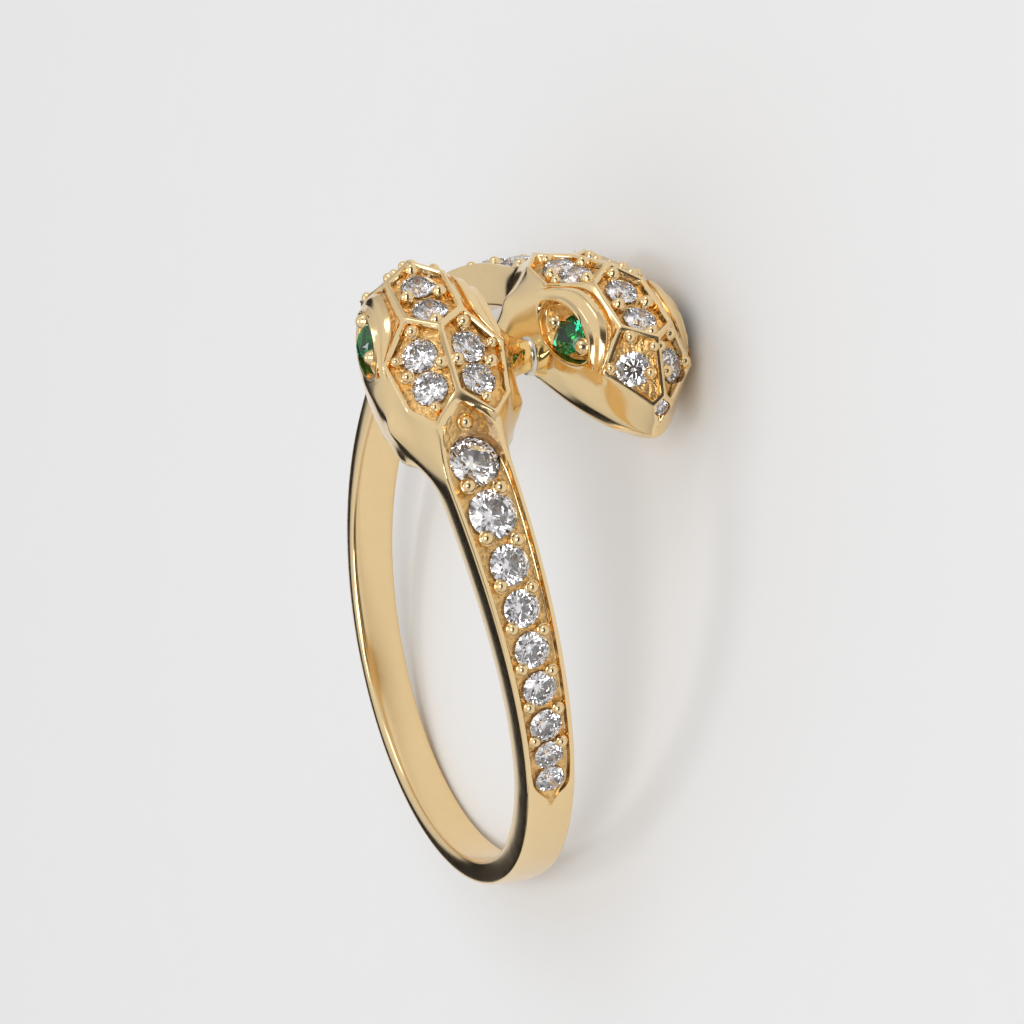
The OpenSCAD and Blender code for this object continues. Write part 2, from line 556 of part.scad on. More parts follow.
module right_outer_cheek_stone() head_stone(1, 4, 1);
module right_inner_cheek_stone() head_stone(1, 4, -1);
module right_nose_stone() head_stone(1, 5, 1);
module right_outer_eye() head_stone(1, 6, 1);
module right_inner_eye() head_stone(1, 6, -1);

gold_body();
left_row_stone_1();
left_row_stone_2();
left_row_stone_3();
left_row_stone_4();
left_row_stone_5();
left_row_stone_6();
left_row_stone_7();
left_row_stone_8();
left_row_stone_9();
left_crest_stone_1();
left_crest_stone_2();
left_outer_brow_stone_1();
left_outer_brow_stone_2();
left_inner_brow_stone_1();
left_inner_brow_stone_2();
left_outer_cheek_stone();
left_inner_cheek_stone();
left_nose_stone();
left_outer_eye();
left_inner_eye();
right_row_stone_1();
right_row_stone_2();
right_row_stone_3();
right_row_stone_4();
right_row_stone_5();
right_row_stone_6();
right_row_stone_7();
right_row_stone_8();
right_row_stone_9();
right_crest_stone_1();
right_crest_stone_2();
right_outer_brow_stone_1();
right_outer_brow_stone_2();
right_inner_brow_stone_1();
right_inner_brow_stone_2();
right_outer_cheek_stone();
right_inner_cheek_stone();
right_nose_stone();
right_outer_eye();
right_inner_eye();
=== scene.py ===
import logging
import math
from collections.abc import Iterable
from dataclasses import dataclass, field
from enum import Enum, IntEnum

import bmesh
import bpy
import numpy as np
from mathutils import Matrix, Vector


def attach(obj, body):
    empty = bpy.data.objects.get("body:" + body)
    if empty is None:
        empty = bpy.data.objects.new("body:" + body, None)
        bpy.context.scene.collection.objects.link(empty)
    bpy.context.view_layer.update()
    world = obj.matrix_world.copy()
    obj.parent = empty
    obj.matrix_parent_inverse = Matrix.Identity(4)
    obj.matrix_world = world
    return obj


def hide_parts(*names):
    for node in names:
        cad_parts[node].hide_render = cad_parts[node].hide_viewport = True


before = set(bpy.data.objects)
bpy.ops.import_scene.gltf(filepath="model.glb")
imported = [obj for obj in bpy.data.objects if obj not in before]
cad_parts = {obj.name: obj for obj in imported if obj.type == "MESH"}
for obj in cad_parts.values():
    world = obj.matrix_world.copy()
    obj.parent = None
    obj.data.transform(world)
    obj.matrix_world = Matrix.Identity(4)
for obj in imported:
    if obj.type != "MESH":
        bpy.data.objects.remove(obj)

LOG = logging.getLogger("snake_wrap_ring")
MM = 0.001
Point = np.ndarray
Colour = tuple[float, float, float]
Profile = list[tuple[float, float]]
Turned = tuple[list[Point], list[list[int]]]
Socket = bpy.types.NodeSocket
Values = dict[str | int, object]
Links = dict[str | int, Socket]


class Finish(IntEnum):
    """Material slots of the gold pieces."""

    POLISHED = 0
    GRAINED = 1


class Side(IntEnum):
    """The two halves of a head, by the sign of the snake's left."""

    LEFT = 1
    RIGHT = -1


class Cell(str, Enum):
    """Names of the cells that hold stones on a head."""

    CENTRE = "centre"
    BACK = "back"
    FRONT = "front"
    NOSE = "nose"
    EYE = "eye"


@dataclass(frozen=True)
class RingSizes:
    """Sizes of the ring in millimetres and degrees, as in the part's source but for the brow's groove."""

    bore_r: float = 8.5
    bore_spare: float = 0.3
    band_w: float = 1.4
    band_t: float = 0.7
    neck_w: float = 2.1
    neck_t: float = 1.4
    seat_w: float = 1.72
    lean: float = 2.85
    crown_h: float = 0.12
    side_bulge: float = 0.03
    head_l: float = 6.8
    head_w: float = 4.2
    head_h: float = 2.91
    head_spacing: float = 5.94
    ridge_w: float = 0.24
    cell_h: float = 0.22
    brow_h: float = 0.16
    rim_w: float = 0.14
    channel_h: float = 0.16
    cell_stone_d: float = 1.0
    nose_stone_d: float = 0.46
    eye_stone_d: float = 1.16
    eye_look_up: float = 26.0
    eye_sink: float = 0.09
    row_stone_d: float = 1.46
    row_gap: float = 0.155
    row_sink: float = 0.08
    bead_d: float = 0.32
    stone_gap: float = 0.02
    link_d: float = 1.0
    link_h: float = 0.65
    seam_d: float = 1.16
    neck_a: float = 156.0
    row_low_a: float = 94.5
    row_top_a: float = 156.5
    crown_share: float = 0.15
    pavilion_share: float = 0.42
    girdle_share: float = 0.03
    skin_steps: int = 24
    skin_round: tuple[float, float] = (0.55, 0.25)


@dataclass(frozen=True)
class HeadPose:
    """How one head is turned, in degrees: inwards or outwards, lifted, and leant outwards."""

    yaw: float
    lift: float
    lean: float


LEFT_POSE = HeadPose(yaw=-1.8, lift=6.4, lean=10.5)
RIGHT_POSE = HeadPose(yaw=5.1, lift=10.1, lean=4.3)

# Net of a head's left half: shares of the head's length forwards, of half its width, of its height down
NET: dict[str, tuple[float, float, float]] = {
    "nape": (-0.424, 0.00, 0.137), "crest back": (-0.151, 0.00, -0.096),
    "crest front": (0.326, 0.00, 0.144), "nose top": (0.460, 0.00, 0.619),
    "nose front": (0.468, 0.00, 0.986), "tip": (0.474, 0.00, 1.089), "chin": (0.409, 0.00, 1.220),
    "side back": (-0.046, 0.40, -0.017), "side front": (0.224, 0.41, 0.131),
    "brow back": (-0.203, 0.83, 0.179), "shoulder": (-0.441, 0.70, 0.268),
    "collar": (-0.547, 0.41, 0.247), "cheek top": (0.300, 0.70, 0.533),
    "nose side": (0.463, 0.15, 0.729), "lid back": (-0.072, 0.67, 0.065),
    "lid": (0.074, 0.63, 0.096), "lid front": (0.191, 0.62, 0.192),
    "eye back": (-0.216, 0.88, 0.326), "eye upper back": (-0.074, 0.80, 0.148),
    "eye upper": (0.066, 0.77, 0.162), "eye upper front": (0.182, 0.74, 0.285),
    "eye front": (0.244, 0.76, 0.550), "eye lower front": (0.110, 0.91, 0.691),
    "eye lower": (-0.035, 0.97, 0.660), "eye lower back": (-0.151, 0.96, 0.546),
    "jaw back": (-0.262, 1.00, 0.532), "jaw widest": (-0.069, 1.00, 0.718),
    "lip back": (0.090, 0.92, 0.842), "lip": (0.209, 0.78, 0.924),
    "lip middle": (0.310, 0.60, 0.976), "lip front": (0.394, 0.38, 1.017),
    "nostril": (0.450, 0.186, 1.048), "neck side": (-0.400, 0.96, 0.560),
    "under neck": (-0.440, 0.78, 1.065), "under back": (-0.290, 0.89, 1.045),
    "under widest": (-0.134, 0.93, 1.065), "under eye": (0.012, 0.87, 1.113),
    "under cheek": (0.150, 0.69, 1.165), "under lip": (0.268, 0.47, 1.189),
    "under chin": (0.365, 0.26, 1.203),
}
# Extra reach of the right head's neck towards the left head, as shares of half its width
RIGHT_REACH = {"neck side": 0.12, "under neck": 0.45, "under back": 0.36, "under widest": 0.12}
# Corners of the cells, corners of the plain faces, and lines, by the names of net points
CENTRE_HALF = ("crest front", "side front", "side back", "crest back")
NOSE_HALF = ("nose front", "nose side", "nose top")
BACK_LOOP = ("crest back", "side back", "brow back", "shoulder", "collar", "nape")
FRONT_LOOP = ("crest front", "nose top", "nose side", "cheek top", "side front")
EYE_LOOP = ("eye back", "eye upper back", "eye upper", "eye upper front", "eye front",
            "eye lower front", "eye lower", "eye lower back")
PLAIN_FACES = (
    ("cheek top", "nose side", "lip front", "lip middle"),
    ("eye front", "lip", "lip back", "eye lower front"),
    ("eye lower front", "lip back", "jaw widest", "eye lower"),
    ("eye lower", "jaw widest", "jaw back", "eye lower back"),
    ("eye lower back", "jaw back", "eye back"),
    ("nose side", "nose front", "tip", "nostril", "lip front"),
    ("jaw back", "under back", "under neck", "neck side"),
    ("jaw back", "jaw widest", "under widest", "under back"),
    ("jaw widest", "lip back", "under eye", "under widest"),
    ("lip back", "lip", "under cheek", "under eye"),
    ("lip", "lip middle", "under lip", "under cheek"),
    ("lip middle", "lip front", "under chin", "under lip"),
    ("lip front", "nostril", "chin", "under chin"),
    ("nostril", "tip", "chin"),
)
UNDER_LINE = ("under neck", "under back", "under widest", "under eye", "under cheek", "under lip",
              "under chin")
JAW_LINE = ("jaw back", "jaw widest", "lip back", "lip", "lip middle", "lip front", "nostril", "tip")
HEAD_CREASES = ((JAW_LINE, 0.4), (("cheek top", "nose side"), 0.3),
                (("nose side", "nose front", "tip"), 0.3), (UNDER_LINE, 0.4))
UNDER_CORNER = 0.45
NOSE_RIDGE = 0.3

# Numbers of a section's points, counted from the bore's middle, and creases along the lines through them
RING_POINTS = 14
OUTER_EDGE = 4
CHANNEL_FLOOR = (6, 7)
BAND_CREASES = {1: 0.2, 2: 0.2, OUTER_EDGE: 0.28}
EDGE_GROWTH = 0.14
CHANNEL_CREASES = {5: 0.48, 6: 0.4}

# Rows of a cell: share of the ridge's half width, further inwards, share of the depth, crease
CELL_ROWS = ((0.78, 0.0, 0.0, 0.7), (1.04, 0.0, 0.16, 0.7), (1.0, 0.06, 1.0, 0.9))
RIDGE_CREASE = 0.3
CORNER_HOLD = 0.09
CORNER_CREASE = 0.6
# Rows of an eye's rim: how far inwards and up they lie, and the creases from its border to its floor
EYE_ROWS = ((0.03, 0.06), (0.09, 0.06), (0.12, -0.04))
EYE_FLOOR_MARGIN = 0.15
EYE_CREASES = (0.4, 0.4, 0.48, 0.0, 0.4)
# A brow, from the cells' border over the groove and the lid to the fold above the eye
BROW_BORDER = ("brow back", "side back", "side front", "cheek top")
LID_LINE = ("lid back", "lid", "lid front")
LID_END = 0.55
LID_RISES = (0.02, 0.05, 0.07, 0.06, 0.02)
FOLD_SHARE = 0.6
FOLD_DROPS = (0, 0.07, 0.08, 0.07, 0)
GROOVE_SHARES = (0.26, 0.33, 0.46, 0.54)
GROOVE_LIP = 0.03
BROW_CREASES = (0.6, 0.45, 0.4, 0.45, 0.35, 0.45)
# The neck: its edge up to the collar, then the pocket's rim and floor, and the pocket's corners
NECK_CREASES = (0.3, 0.6, 0.5)
POCKET_CORNER = 0.75


@dataclass(frozen=True)
class Setting:
    """A stone or bead on a head: its cell, its place as shares of length and half width, and its size."""

    cell: Cell
    forward: float
    side: float
    size: float = 1.0


HEAD_STONES = (
    Setting(Cell.CENTRE, 0.000, 0.00), Setting(Cell.CENTRE, 0.175, 0.00),
    Setting(Cell.BACK, -0.221, 0.36), Setting(Cell.BACK, -0.369, 0.36),
    Setting(Cell.FRONT, 0.345, 0.33), Setting(Cell.NOSE, 0.452, 0.00), Setting(Cell.EYE, 0.050, 0.84),
)
HEAD_BEADS = (
    Setting(Cell.CENTRE, -0.094, 0.00), Setting(Cell.CENTRE, 0.094, 0.22),
    Setting(Cell.CENTRE, 0.272, 0.00), Setting(Cell.BACK, -0.118, 0.36),
    Setting(Cell.BACK, -0.290, 0.12), Setting(Cell.BACK, -0.294, 0.58),
    Setting(Cell.BACK, -0.212, 0.66, 0.75), Setting(Cell.BACK, -0.460, 0.36, 0.8),
    Setting(Cell.FRONT, 0.270, 0.32), Setting(Cell.FRONT, 0.335, 0.06, 0.9),
    Setting(Cell.FRONT, 0.385, 0.14, 0.9), Setting(Cell.FRONT, 0.300, 0.60, 0.9),
    Setting(Cell.EYE, -0.060, 0.88, 1.15), Setting(Cell.EYE, 0.150, 0.82, 1.3),
)
# Stones down a shank: share of the largest stone's diameter, share of the gap before it
ROW = ((1.0, 0.0), (0.96, 0.95), (0.79, 1.25), (0.73, 0.9), (0.71, 1.0), (0.69, 0.95), (0.67, 1.2),
       (0.6, 0.5), (0.6, 0.2))
# Pairs of beads between those stones: radius as a share of a bead's diameter, place as a share of the
# channel's half width
ROW_BEADS = ((0.80, 0.50), (0.74, 0.52), (0.68, 0.56), (0.66, 0.60), (0.64, 0.62), (0.62, 0.64),
             (0.60, 0.64))
# Bead in the neck's pocket, behind the first stone: distance up the neck line and radius
NECK_BEAD = (1.15, 0.25)


def unit(v: Point) -> Point:
    """Scale a vector to length one."""
    return v / np.linalg.norm(v)


def sin_deg(a: float) -> float:
    """Sine of an angle in degrees."""
    return math.sin(math.radians(a))


def cos_deg(a: float) -> float:
    """Cosine of an angle in degrees."""
    return math.cos(math.radians(a))


def outward(loop: list[Point]) -> Point:
    """Direction that a loop faces, where it runs anticlockwise seen from outside."""
    n = len(loop)
    return unit(sum(np.cross(loop[i], loop[(i + 1) % n]) for i in range(n)))


def inset(loop: list[Point], width: float) -> list[Point]:
    """Draw a loop inwards along its own face.

    Args:
        loop: The corners in turn.
        width: How far each side moves inwards.

    Returns:
        The corners of the smaller loop.
    """
    up, n, out = outward(loop), len(loop), []
    for i, p in enumerate(loop):
        a, b = unit(loop[i - 1] - p), unit(loop[(i + 1) % n] - p)
        d = unit(np.cross(up, unit(b - a)))
        out.append(p + d * width / abs(float(np.dot(d, unit(np.cross(up, b))))))
    return out


TIGHT_MOST = 0.3


def tight(loop: list[Point], reach: float) -> list[Point]:
    """Add a point on each side of every corner, so that smoothing rounds it only a little.

    Args:
        loop: The corners in turn.
        reach: Distance of the added points from their corner.

    Returns:
        Three points for each corner: before it, at it, and after it.
    """
    out = []
    for i, p in enumerate(loop):
        a, b = loop[i - 1] - p, loop[(i + 1) % len(loop)] - p
        before, after = (v * min(reach / np.linalg.norm(v), TIGHT_MOST) for v in (a, b))
        out += [p + before, p, p + after]
    return out


@dataclass(frozen=True)
class Place:
    """A place where something is set, with its outward direction as z."""

    point: Point
    up: Point

    def matrix(self) -> np.ndarray:
        """Work out the place's axes.

        Returns:
            A 3 by 4 matrix from the set thing's own frame.
        """
        z = unit(self.up)
        x = unit(np.cross([1.0, 0, 0] if abs(z[1]) > 0.9 else [0, 1.0, 0], z))
        y = np.cross(z, x)
        return np.column_stack([x, y, z, self.point])


@dataclass
class Shank:
    """One shank's form, in sections square to the band, by the angle from the ring's foot."""

    sizes: RingSizes
    thicken: float = 1.3
    widen_from: float = 0.45
    channel_lead: float = 0.4
    channel_run: float = 4

    def rise(self, a: float) -> float:
        """Share of the ring's height reached at an angle."""
        return (1 - cos_deg(a)) / 2

    def share(self, a: float) -> float:
        """Share of the way up to the neck."""
        return self.rise(a) / self.rise(self.sizes.neck_a)

    def outer_r(self, a: float) -> float:
        """Radius of the outside face."""
        s = self.sizes
        return s.bore_r + s.band_t + (s.neck_t - s.band_t) * self.share(a) ** self.thicken

    def outer_w(self, a: float) -> float:
        """Half the width of the outside face."""
        s, wide = self.sizes, max(0.0, (self.share(a) - self.widen_from) / (1 - self.widen_from)) ** 2
        return (s.band_w + (s.neck_w - s.band_w) * wide) / 2

    def inner_w(self, a: float) -> float:
        """Half the width of the inside face."""
        s = self.sizes
        return (s.band_w + (s.seat_w - s.band_w) * self.rise(a)) / 2

    def crown(self, a: float) -> float:
        """Rise of the rounded outside face above its edges."""
        return self.sizes.crown_h * max(0.0, 1 - self.rise(a) / self.rise(self.sizes.row_low_a))

    def channel_half(self, a: float) -> float:
        """Half the width of the channel that holds the row."""
        open_share = min(1.0, (a - self.sizes.row_low_a + self.channel_lead) / self.channel_run)
        return (self.outer_w(a) - self.sizes.rim_w) * open_share

    def on(self, a: float, side: float, r: float) -> Point:
        """Point of the shank."""
        return np.array([-self.sizes.lean * self.rise(a) ** 2 - side, -r * sin_deg(a), -r * cos_deg(a)])

    def row_d(self, i: int) -> float:
        """Diameter of a stone of the row."""
        return self.sizes.row_stone_d * ROW[i][0]

    def row_a(self, i: int) -> float:
        """Angle of a stone of the row.

        Args:
            i: The stone's number from the neck down.

        Returns:
            The angle from the foot.
        """
        if i == 0:
            return self.sizes.row_top_a
        before = self.row_a(i - 1)
        step = (self.row_d(i - 1) + self.row_d(i)) / 2 + self.sizes.row_gap * ROW[i][1]
        return before - math.degrees(step / self.outer_r(before))


@dataclass
class Head:
    """One snake's head: its net of named points and its own frame."""

    sizes: RingSizes
    pose: HeadPose
    reaches: bool
    axes: np.ndarray = field(init=False)
    origin: Point = field(init=False)

    def __post_init__(self) -> None:
        """Work out the head's forward, left and up directions."""
        s, p = self.sizes, self.pose
        f = np.array([-sin_deg(p.yaw) * cos_deg(p.lift), cos_deg(p.yaw) * cos_deg(p.lift), sin_deg(p.lift)])
        level = unit(np.cross([0, 0, 1.0], f))
        up = np.cross(f, level)
        left = level * cos_deg(p.lean) - up * sin_deg(p.lean)
        self.axes = np.column_stack([f, left, level * sin_deg(p.lean) + up * cos_deg(p.lean)])
        self.origin = np.array([-s.head_spacing / 2, 0, s.bore_r + s.head_h])

    def to_ring(self, p: Point) -> Point:
        """Bring a point of the head's frame into the snake's upright frame."""
        return self.origin + self.axes @ p

    def net(self, name: str, side: Side = Side.LEFT) -> Point:
        """Look up a point of the net.

        Args:
            name: The point's name.
            side: The half of the head.

        Returns:
            The point in the head's own frame.
        """
        f, l, d = NET[name]
        s = self.sizes
        if self.reaches and side is Side.RIGHT:
            l += RIGHT_REACH.get(name, 0.0)
        return np.array([f * s.head_l, side * l * s.head_w / 2, -d * s.head_h])

    def between(self, a: str, b: str, share: float, side: Side) -> Point:
        """Find a point between two points of the net."""
        return self.net(a, side) * (1 - share) + self.net(b, side) * share

    def loop(self, cell: Cell, side: Side) -> list[tuple[str, Side]]:
        """Name the corners of a cell, anticlockwise seen from outside.

        Args:
            cell: The cell.
            side: The half of the head.

        Returns:
            The names and halves in turn.
        """
        if cell in (Cell.CENTRE, Cell.NOSE):
            half = CENTRE_HALF if cell is Cell.CENTRE else NOSE_HALF
            return [(n, Side.LEFT) for n in half] + [(n, Side.RIGHT) for n in reversed(half[1:-1])]
        names = {Cell.BACK: BACK_LOOP, Cell.FRONT: FRONT_LOOP, Cell.EYE: EYE_LOOP}[cell]
        return [(n, side) for n in (names if side is Side.LEFT else reversed(names))]

    def corners(self, cell: Cell, side: Side) -> list[Point]:
        """Find the corners of a cell."""
        return [self.net(n, s) for n, s in self.loop(cell, side)]

    def place(self, setting: Setting, side: Side, sink: float) -> Place:
        """Find where a stone or bead is set.

        Args:
            setting: What is set.
            side: The half of the head.
            sink: Depth below the cell's face, in millimetres.

        Returns:
            The place in the head's own frame.
        """
        pts = self.corners(setting.cell, side)
        c, up = sum(pts) / len(pts), outward(pts)
        x, y = setting.forward * self.sizes.head_l, side * setting.side * self.sizes.head_w / 2
        if setting.cell in (Cell.NOSE, Cell.EYE):
            w = np.array([c[0], 0, c[2]]) if setting.cell is Cell.NOSE else np.array([x, c[1], c[2]])
            p = w - up * float(np.dot(w - c, up))
        else:
            p = np.array([x, y, c[2] - ((x - c[0]) * up[0] + (y - c[1]) * up[1]) / up[2]])
        return Place(p - up * sink, up)

    def eye_up(self, side: Side) -> Point:
        """Find where an eye looks: upwards from its socket's own direction.

        Args:
            side: The half of the head.

        Returns:
            The direction in the head's own frame.
        """
        up = outward(self.corners(Cell.EYE, side))
        angle = math.degrees(math.asin(up[2])) + self.sizes.eye_look_up
        return unit(np.array([up[0], up[1], 0.0])) * cos_deg(angle) + np.array([0, 0, sin_deg(angle)])


@dataclass
class Snake:
    """One snake of the ring: a shank and a head, and the half turn that puts it in its place."""

    sizes: RingSizes
    pose: HeadPose
    turned: bool
    shank: Shank = field(init=False)
    head: Head = field(init=False)

    def __post_init__(self) -> None:
        """Make the shank and the head."""
        self.shank, self.head = Shank(self.sizes), Head(self.sizes, self.pose, self.turned)

    def to_ring(self, p: Point) -> Point:
        """Turn a point of this snake's frame into the ring's."""
        return np.array([-p[0], -p[1], p[2]]) if self.turned else np.array(p, float)

    def head_point(self, p: Point) -> Point:
        """Bring a point of the head's frame into the ring's."""
        return self.to_ring(self.head.to_ring(p))

    def head_place(self, place: Place) -> Place:
        """Bring a place on the head into the ring's frame."""
        base = self.head_point(place.point)
        return Place(base, self.head_point(place.point + place.up) - base)

    def shank_place(self, a: float, side: float, r: float) -> Place:
        """Find a place on the shank."""
        base = self.to_ring(self.shank.on(a, side, r))
        return Place(base, self.to_ring(self.shank.on(a, side, r + 1)) - base)

    def neck_line(self) -> tuple[Point, Point, Point]:
        """Find the line up the neck, from the last section's middle to the nape.

        Returns:
            Its foot, its direction, and the direction out of the ring, in the ring's frame.
        """
        s = self.sizes
        foot = self.to_ring(self.shank.on(s.neck_a, 0, self.shank.outer_r(s.neck_a)))
        along = unit(self.head_point(self.head.net("nape")) - foot)
        out = unit(np.cross(self.to_ring(np.array([1.0, 0, 0])), along))
        return foot, along, out if out[1] * (1 if self.turned else -1) > 0 else -out

    def settings(self) -> list[tuple[Place, float]]:
        """List the stones of this snake.

        Returns:
            Each stone's place, at its girdle, with its diameter.
        """
        s, out = self.sizes, []
        odd_sizes = {Cell.EYE: s.eye_stone_d, Cell.NOSE: s.nose_stone_d}
        for st in HEAD_STONES:
            is_eye = st.cell is Cell.EYE
            d = odd_sizes.get(st.cell, s.cell_stone_d)
            for side in (Side.LEFT,) if st.cell in (Cell.CENTRE, Cell.NOSE) else tuple(Side):
                place = self.head.place(st, side, d * (s.eye_sink if is_eye else s.crown_share))
                if is_eye:
                    place = Place(place.point, self.head.eye_up(side))
                out.append((self.head_place(place), d))
        for i in range(len(ROW)):
            a, d = self.shank.row_a(i), self.shank.row_d(i)
            out.append((self.shank_place(a, 0, self.shank.outer_r(a) - d * s.row_sink), d))
        return out


@dataclass
class RestPose:
    """How the ring lies on its side, worked out from the same three points as the part's source."""

    snakes: tuple[Snake, Snake]
    turn: np.ndarray = field(init=False)
    shift: Point = field(init=False)

    # Number of the section point, an outer edge of the band, that the foot rests on
    RESTING_EDGE = 6

    def section_points(self, snake: Snake, a: float) -> list[Point]:
        """List the section points that the part's skin has at an angle.

        Args:
            snake: The snake.
            a: The angle from the foot.

        Returns:
            Nine points, from one inside edge round the outside to the other.
        """
        sh, s = snake.shank, snake.sizes
        o, i, r, c = sh.outer_w(a), sh.inner_w(a), sh.outer_r(a), sh.crown(a)
        half = [(i, s.bore_r - s.bore_spare), ((i + o) / 2 + s.side_bulge, (s.bore_r + r - c) / 2),
                (o, r - c), (o * s.skin_round[0], r - c * s.skin_round[1])]
        pts = [sh.on(a, w, q) for w, q in half] + [sh.on(a, 0, r)]
        return pts + [sh.on(a, -w, q) for w, q in reversed(half)]

    def __post_init__(self) -> None:
        """Turn and shift the ring so that it rests on two foot edges and the right head's jaw."""
        first, right = self.snakes
        steps = first.sizes.skin_steps
        step = first.sizes.neck_a / steps
        rest = [self.section_points(first, step * i)[self.RESTING_EDGE] for i in (1, 2)]
        rest.append(right.head_point(right.head.net("jaw widest")))
        down = unit(np.cross(rest[1] - rest[0], rest[2] - rest[0]))
        z = -down if down[0] > 0 else down
        y = unit(z * z[2] - np.array([0, 0, 1.0]))
        self.turn = np.array([np.cross(y, z), y, z])
        pts = [snake.to_ring(p) for snake in self.snakes for i in range(steps + 1)
               for p in self.section_points(snake, step * i)]
        pts += [snake.head_point(snake.head.net(n, side))
                for snake in self.snakes for n in NET for side in Side]
        lying = np.array(pts) @ self.turn.T
        low, high = lying.min(0), lying.max(0)
        self.shift = np.array([-(low[0] + high[0]) / 2, -(low[1] + high[1]) / 2, -low[2]])

    def to_row(self, p: Point) -> Point:
        """Bring a point of the upright ring into the row's frame."""
        return (self.turn @ p + self.shift) * MM


def band(a: list[int], b: list[int]) -> list[list[int]]:
    """List the faces between two closed rows of as many points."""
    n = len(a)
    return [[a[i], a[(i + 1) % n], b[(i + 1) % n], b[i]] for i in range(n)]


def circle(r: float, steps: int, z: float) -> list[Point]:
    """List points round the z axis."""
    turns = [2 * math.pi * i / steps for i in range(steps)]
    return [np.array([r * math.cos(t), r * math.sin(t), z]) for t in turns]


def lathe(profile: Profile, steps: int) -> Turned:
    """Turn a profile round the z axis.

    Args:
        profile: Radius and height, from the bottom up; a radius of 0 closes an end.
        steps: Sides round the axis.

    Returns:
        The points and the faces.
    """
    pts, rows, faces = [], [], []
    for r, z in profile:
        if r == 0:
            rows.append([len(pts)] * steps)
            pts.append(np.array([0, 0, z]))
        else:
            rows.append(list(range(len(pts), len(pts) + steps)))
            pts += circle(r, steps, z)
    for a, b in zip(rows, rows[1:]):
        for f in band(a, b):
            f = [v for j, v in enumerate(f) if v != f[j - 1]]
            if len(f) > 2:
                faces.append(f)
    if profile[0][0] > 0:
        faces.append(list(reversed(rows[0])))
    if profile[-1][0] > 0:
        faces.append(rows[-1])
    return pts, faces


@dataclass
class Cage:
    """A mesh under construction, in the ring's upright frame, with creases and finishes."""

    points: list[Point] = field(default_factory=list)
    faces: list[tuple[list[int], Finish]] = field(default_factory=list)
    creases: dict[tuple[int, int], float] = field(default_factory=dict)
    corners: dict[int, float] = field(default_factory=dict)

    def add(self, p: Point) -> int:
        """Add a point."""
        self.points.append(np.array(p, float))
        return len(self.points) - 1

    def face(self, corners: list[int], finish: Finish = Finish.POLISHED, flip: bool = False) -> None:
        """Add a face."""
        self.faces.append((list(reversed(corners)) if flip else list(corners), finish))

    def crease(self, a: int, b: int, value: float) -> None:
        """Sharpen an edge."""
        self.creases[(min(a, b), max(a, b))] = value

    def crease_line(self, line: list[int], value: float, closed: bool = False) -> None:
        """Sharpen the edges along a line of points."""
        for i in range(len(line) - (0 if closed else 1)):
            self.crease(line[i], line[(i + 1) % len(line)], value)

    def corner(self, points: list[int], value: float) -> None:
        """Keep points from being rounded away."""
        for i in points:
            self.corners[i] = max(value, self.corners.get(i, 0.0))

    def bands(self, rows: list[list[int]]) -> None:
        """Add the faces between closed rows of points, each with the next one."""
        for a, b in zip(rows, rows[1:]):
            for corners in band(a, b):
                self.face(corners)

    def stamp(self, shape: Turned, place: Place, scale: float = 1.0,
              finish: Finish = Finish.POLISHED) -> None:
        """Add a turned shape at a place.

        Args:
            shape: Its points and faces.
            place: Where it goes.
            scale: Its size.
            finish: Its finish.
        """
        pts, faces = shape
        m, base = place.matrix(), len(self.points)
        for p in pts:
            self.add(m[:, :3] @ (p * scale) + m[:, 3])
        for corners in faces:
            self.face([base + v for v in corners], finish)

    def mesh(self, name: str, pose: RestPose) -> bpy.types.Mesh:
        """Make a Blender mesh in the row's frame.

        Args:
            name: The mesh's name.
            pose: The ring's resting pose.

        Returns:
            The mesh.
        """
        me = bpy.data.meshes.new(name)
        me.from_pydata([tuple(pose.to_row(p)) for p in self.points], [], [f for f, _ in self.faces])
        me.polygons.foreach_set("material_index", [int(m) for _, m in self.faces])
        bm = bmesh.new()
        bm.from_mesh(me)
        layer = bm.edges.layers.float.new("crease_edge")
        for e in bm.edges:
            a, b = sorted(v.index for v in e.verts)
            e[layer] = self.creases.get((a, b), 0.0)
        tip = bm.verts.layers.float.new("crease_vert")
        for v in bm.verts:
            v[tip] = self.corners.get(v.index, 0.0)
        loose = [v for v in bm.verts if not v.link_faces]
        bmesh.ops.delete(bm, geom=loose, context="VERTS")
        LOG.info("%s: %d faces, %d open or turned edges", name, len(bm.faces),
                 sum(1 for e in bm.edges if not e.is_contiguous))
        bm.to_mesh(me)
        bm.free()
        return me


@dataclass(frozen=True)
class CageShape:
    """Where a cage's lines run: angles in degrees, widths and depths in millimetres, and shares."""

    # Sections of the plain band, and of the channel from its lower tip to the neck
    plain_share: float = 0.93
    plain_steps: int = 10
    channel_tip: tuple[float, ...] = (-0.6, 0.6, 2.1, 3.7)
    channel_steps: int = 9
    # Lines along the plain band's crown, drawn together towards the channel's tip
    crown_widths: tuple[float, float] = (0.6, 0.3)
    crown_drops: tuple[float, float] = (0.3, 0.06)
    draw_in: float = 0.4
    draw_from: float = 0.75
    # Least half widths of the channel at its tip, the slope of its walls, and how fast it deepens
    tip_widths: tuple[float, float] = (0.025, 0.012)
    wall_slope: float = 0.04
    deepen: tuple[float, float] = (0.2, 1.8)
    # Flat share of the bore's face, and height of its rounded edge
    bore_flat: float = 0.88
    bore_edge: float = 0.07
    # Pocket under the nape: how far back and up its tips lie, and where its rims end
    tip_back: float = 0.26
    tip_rise: float = 0.02
    floor_tip_back: float = 0.36
    rim_share: float = 1.5
    rim_back: float = 0.12
    pocket_wall: float = 0.07
    tip_hold: float = 0.12


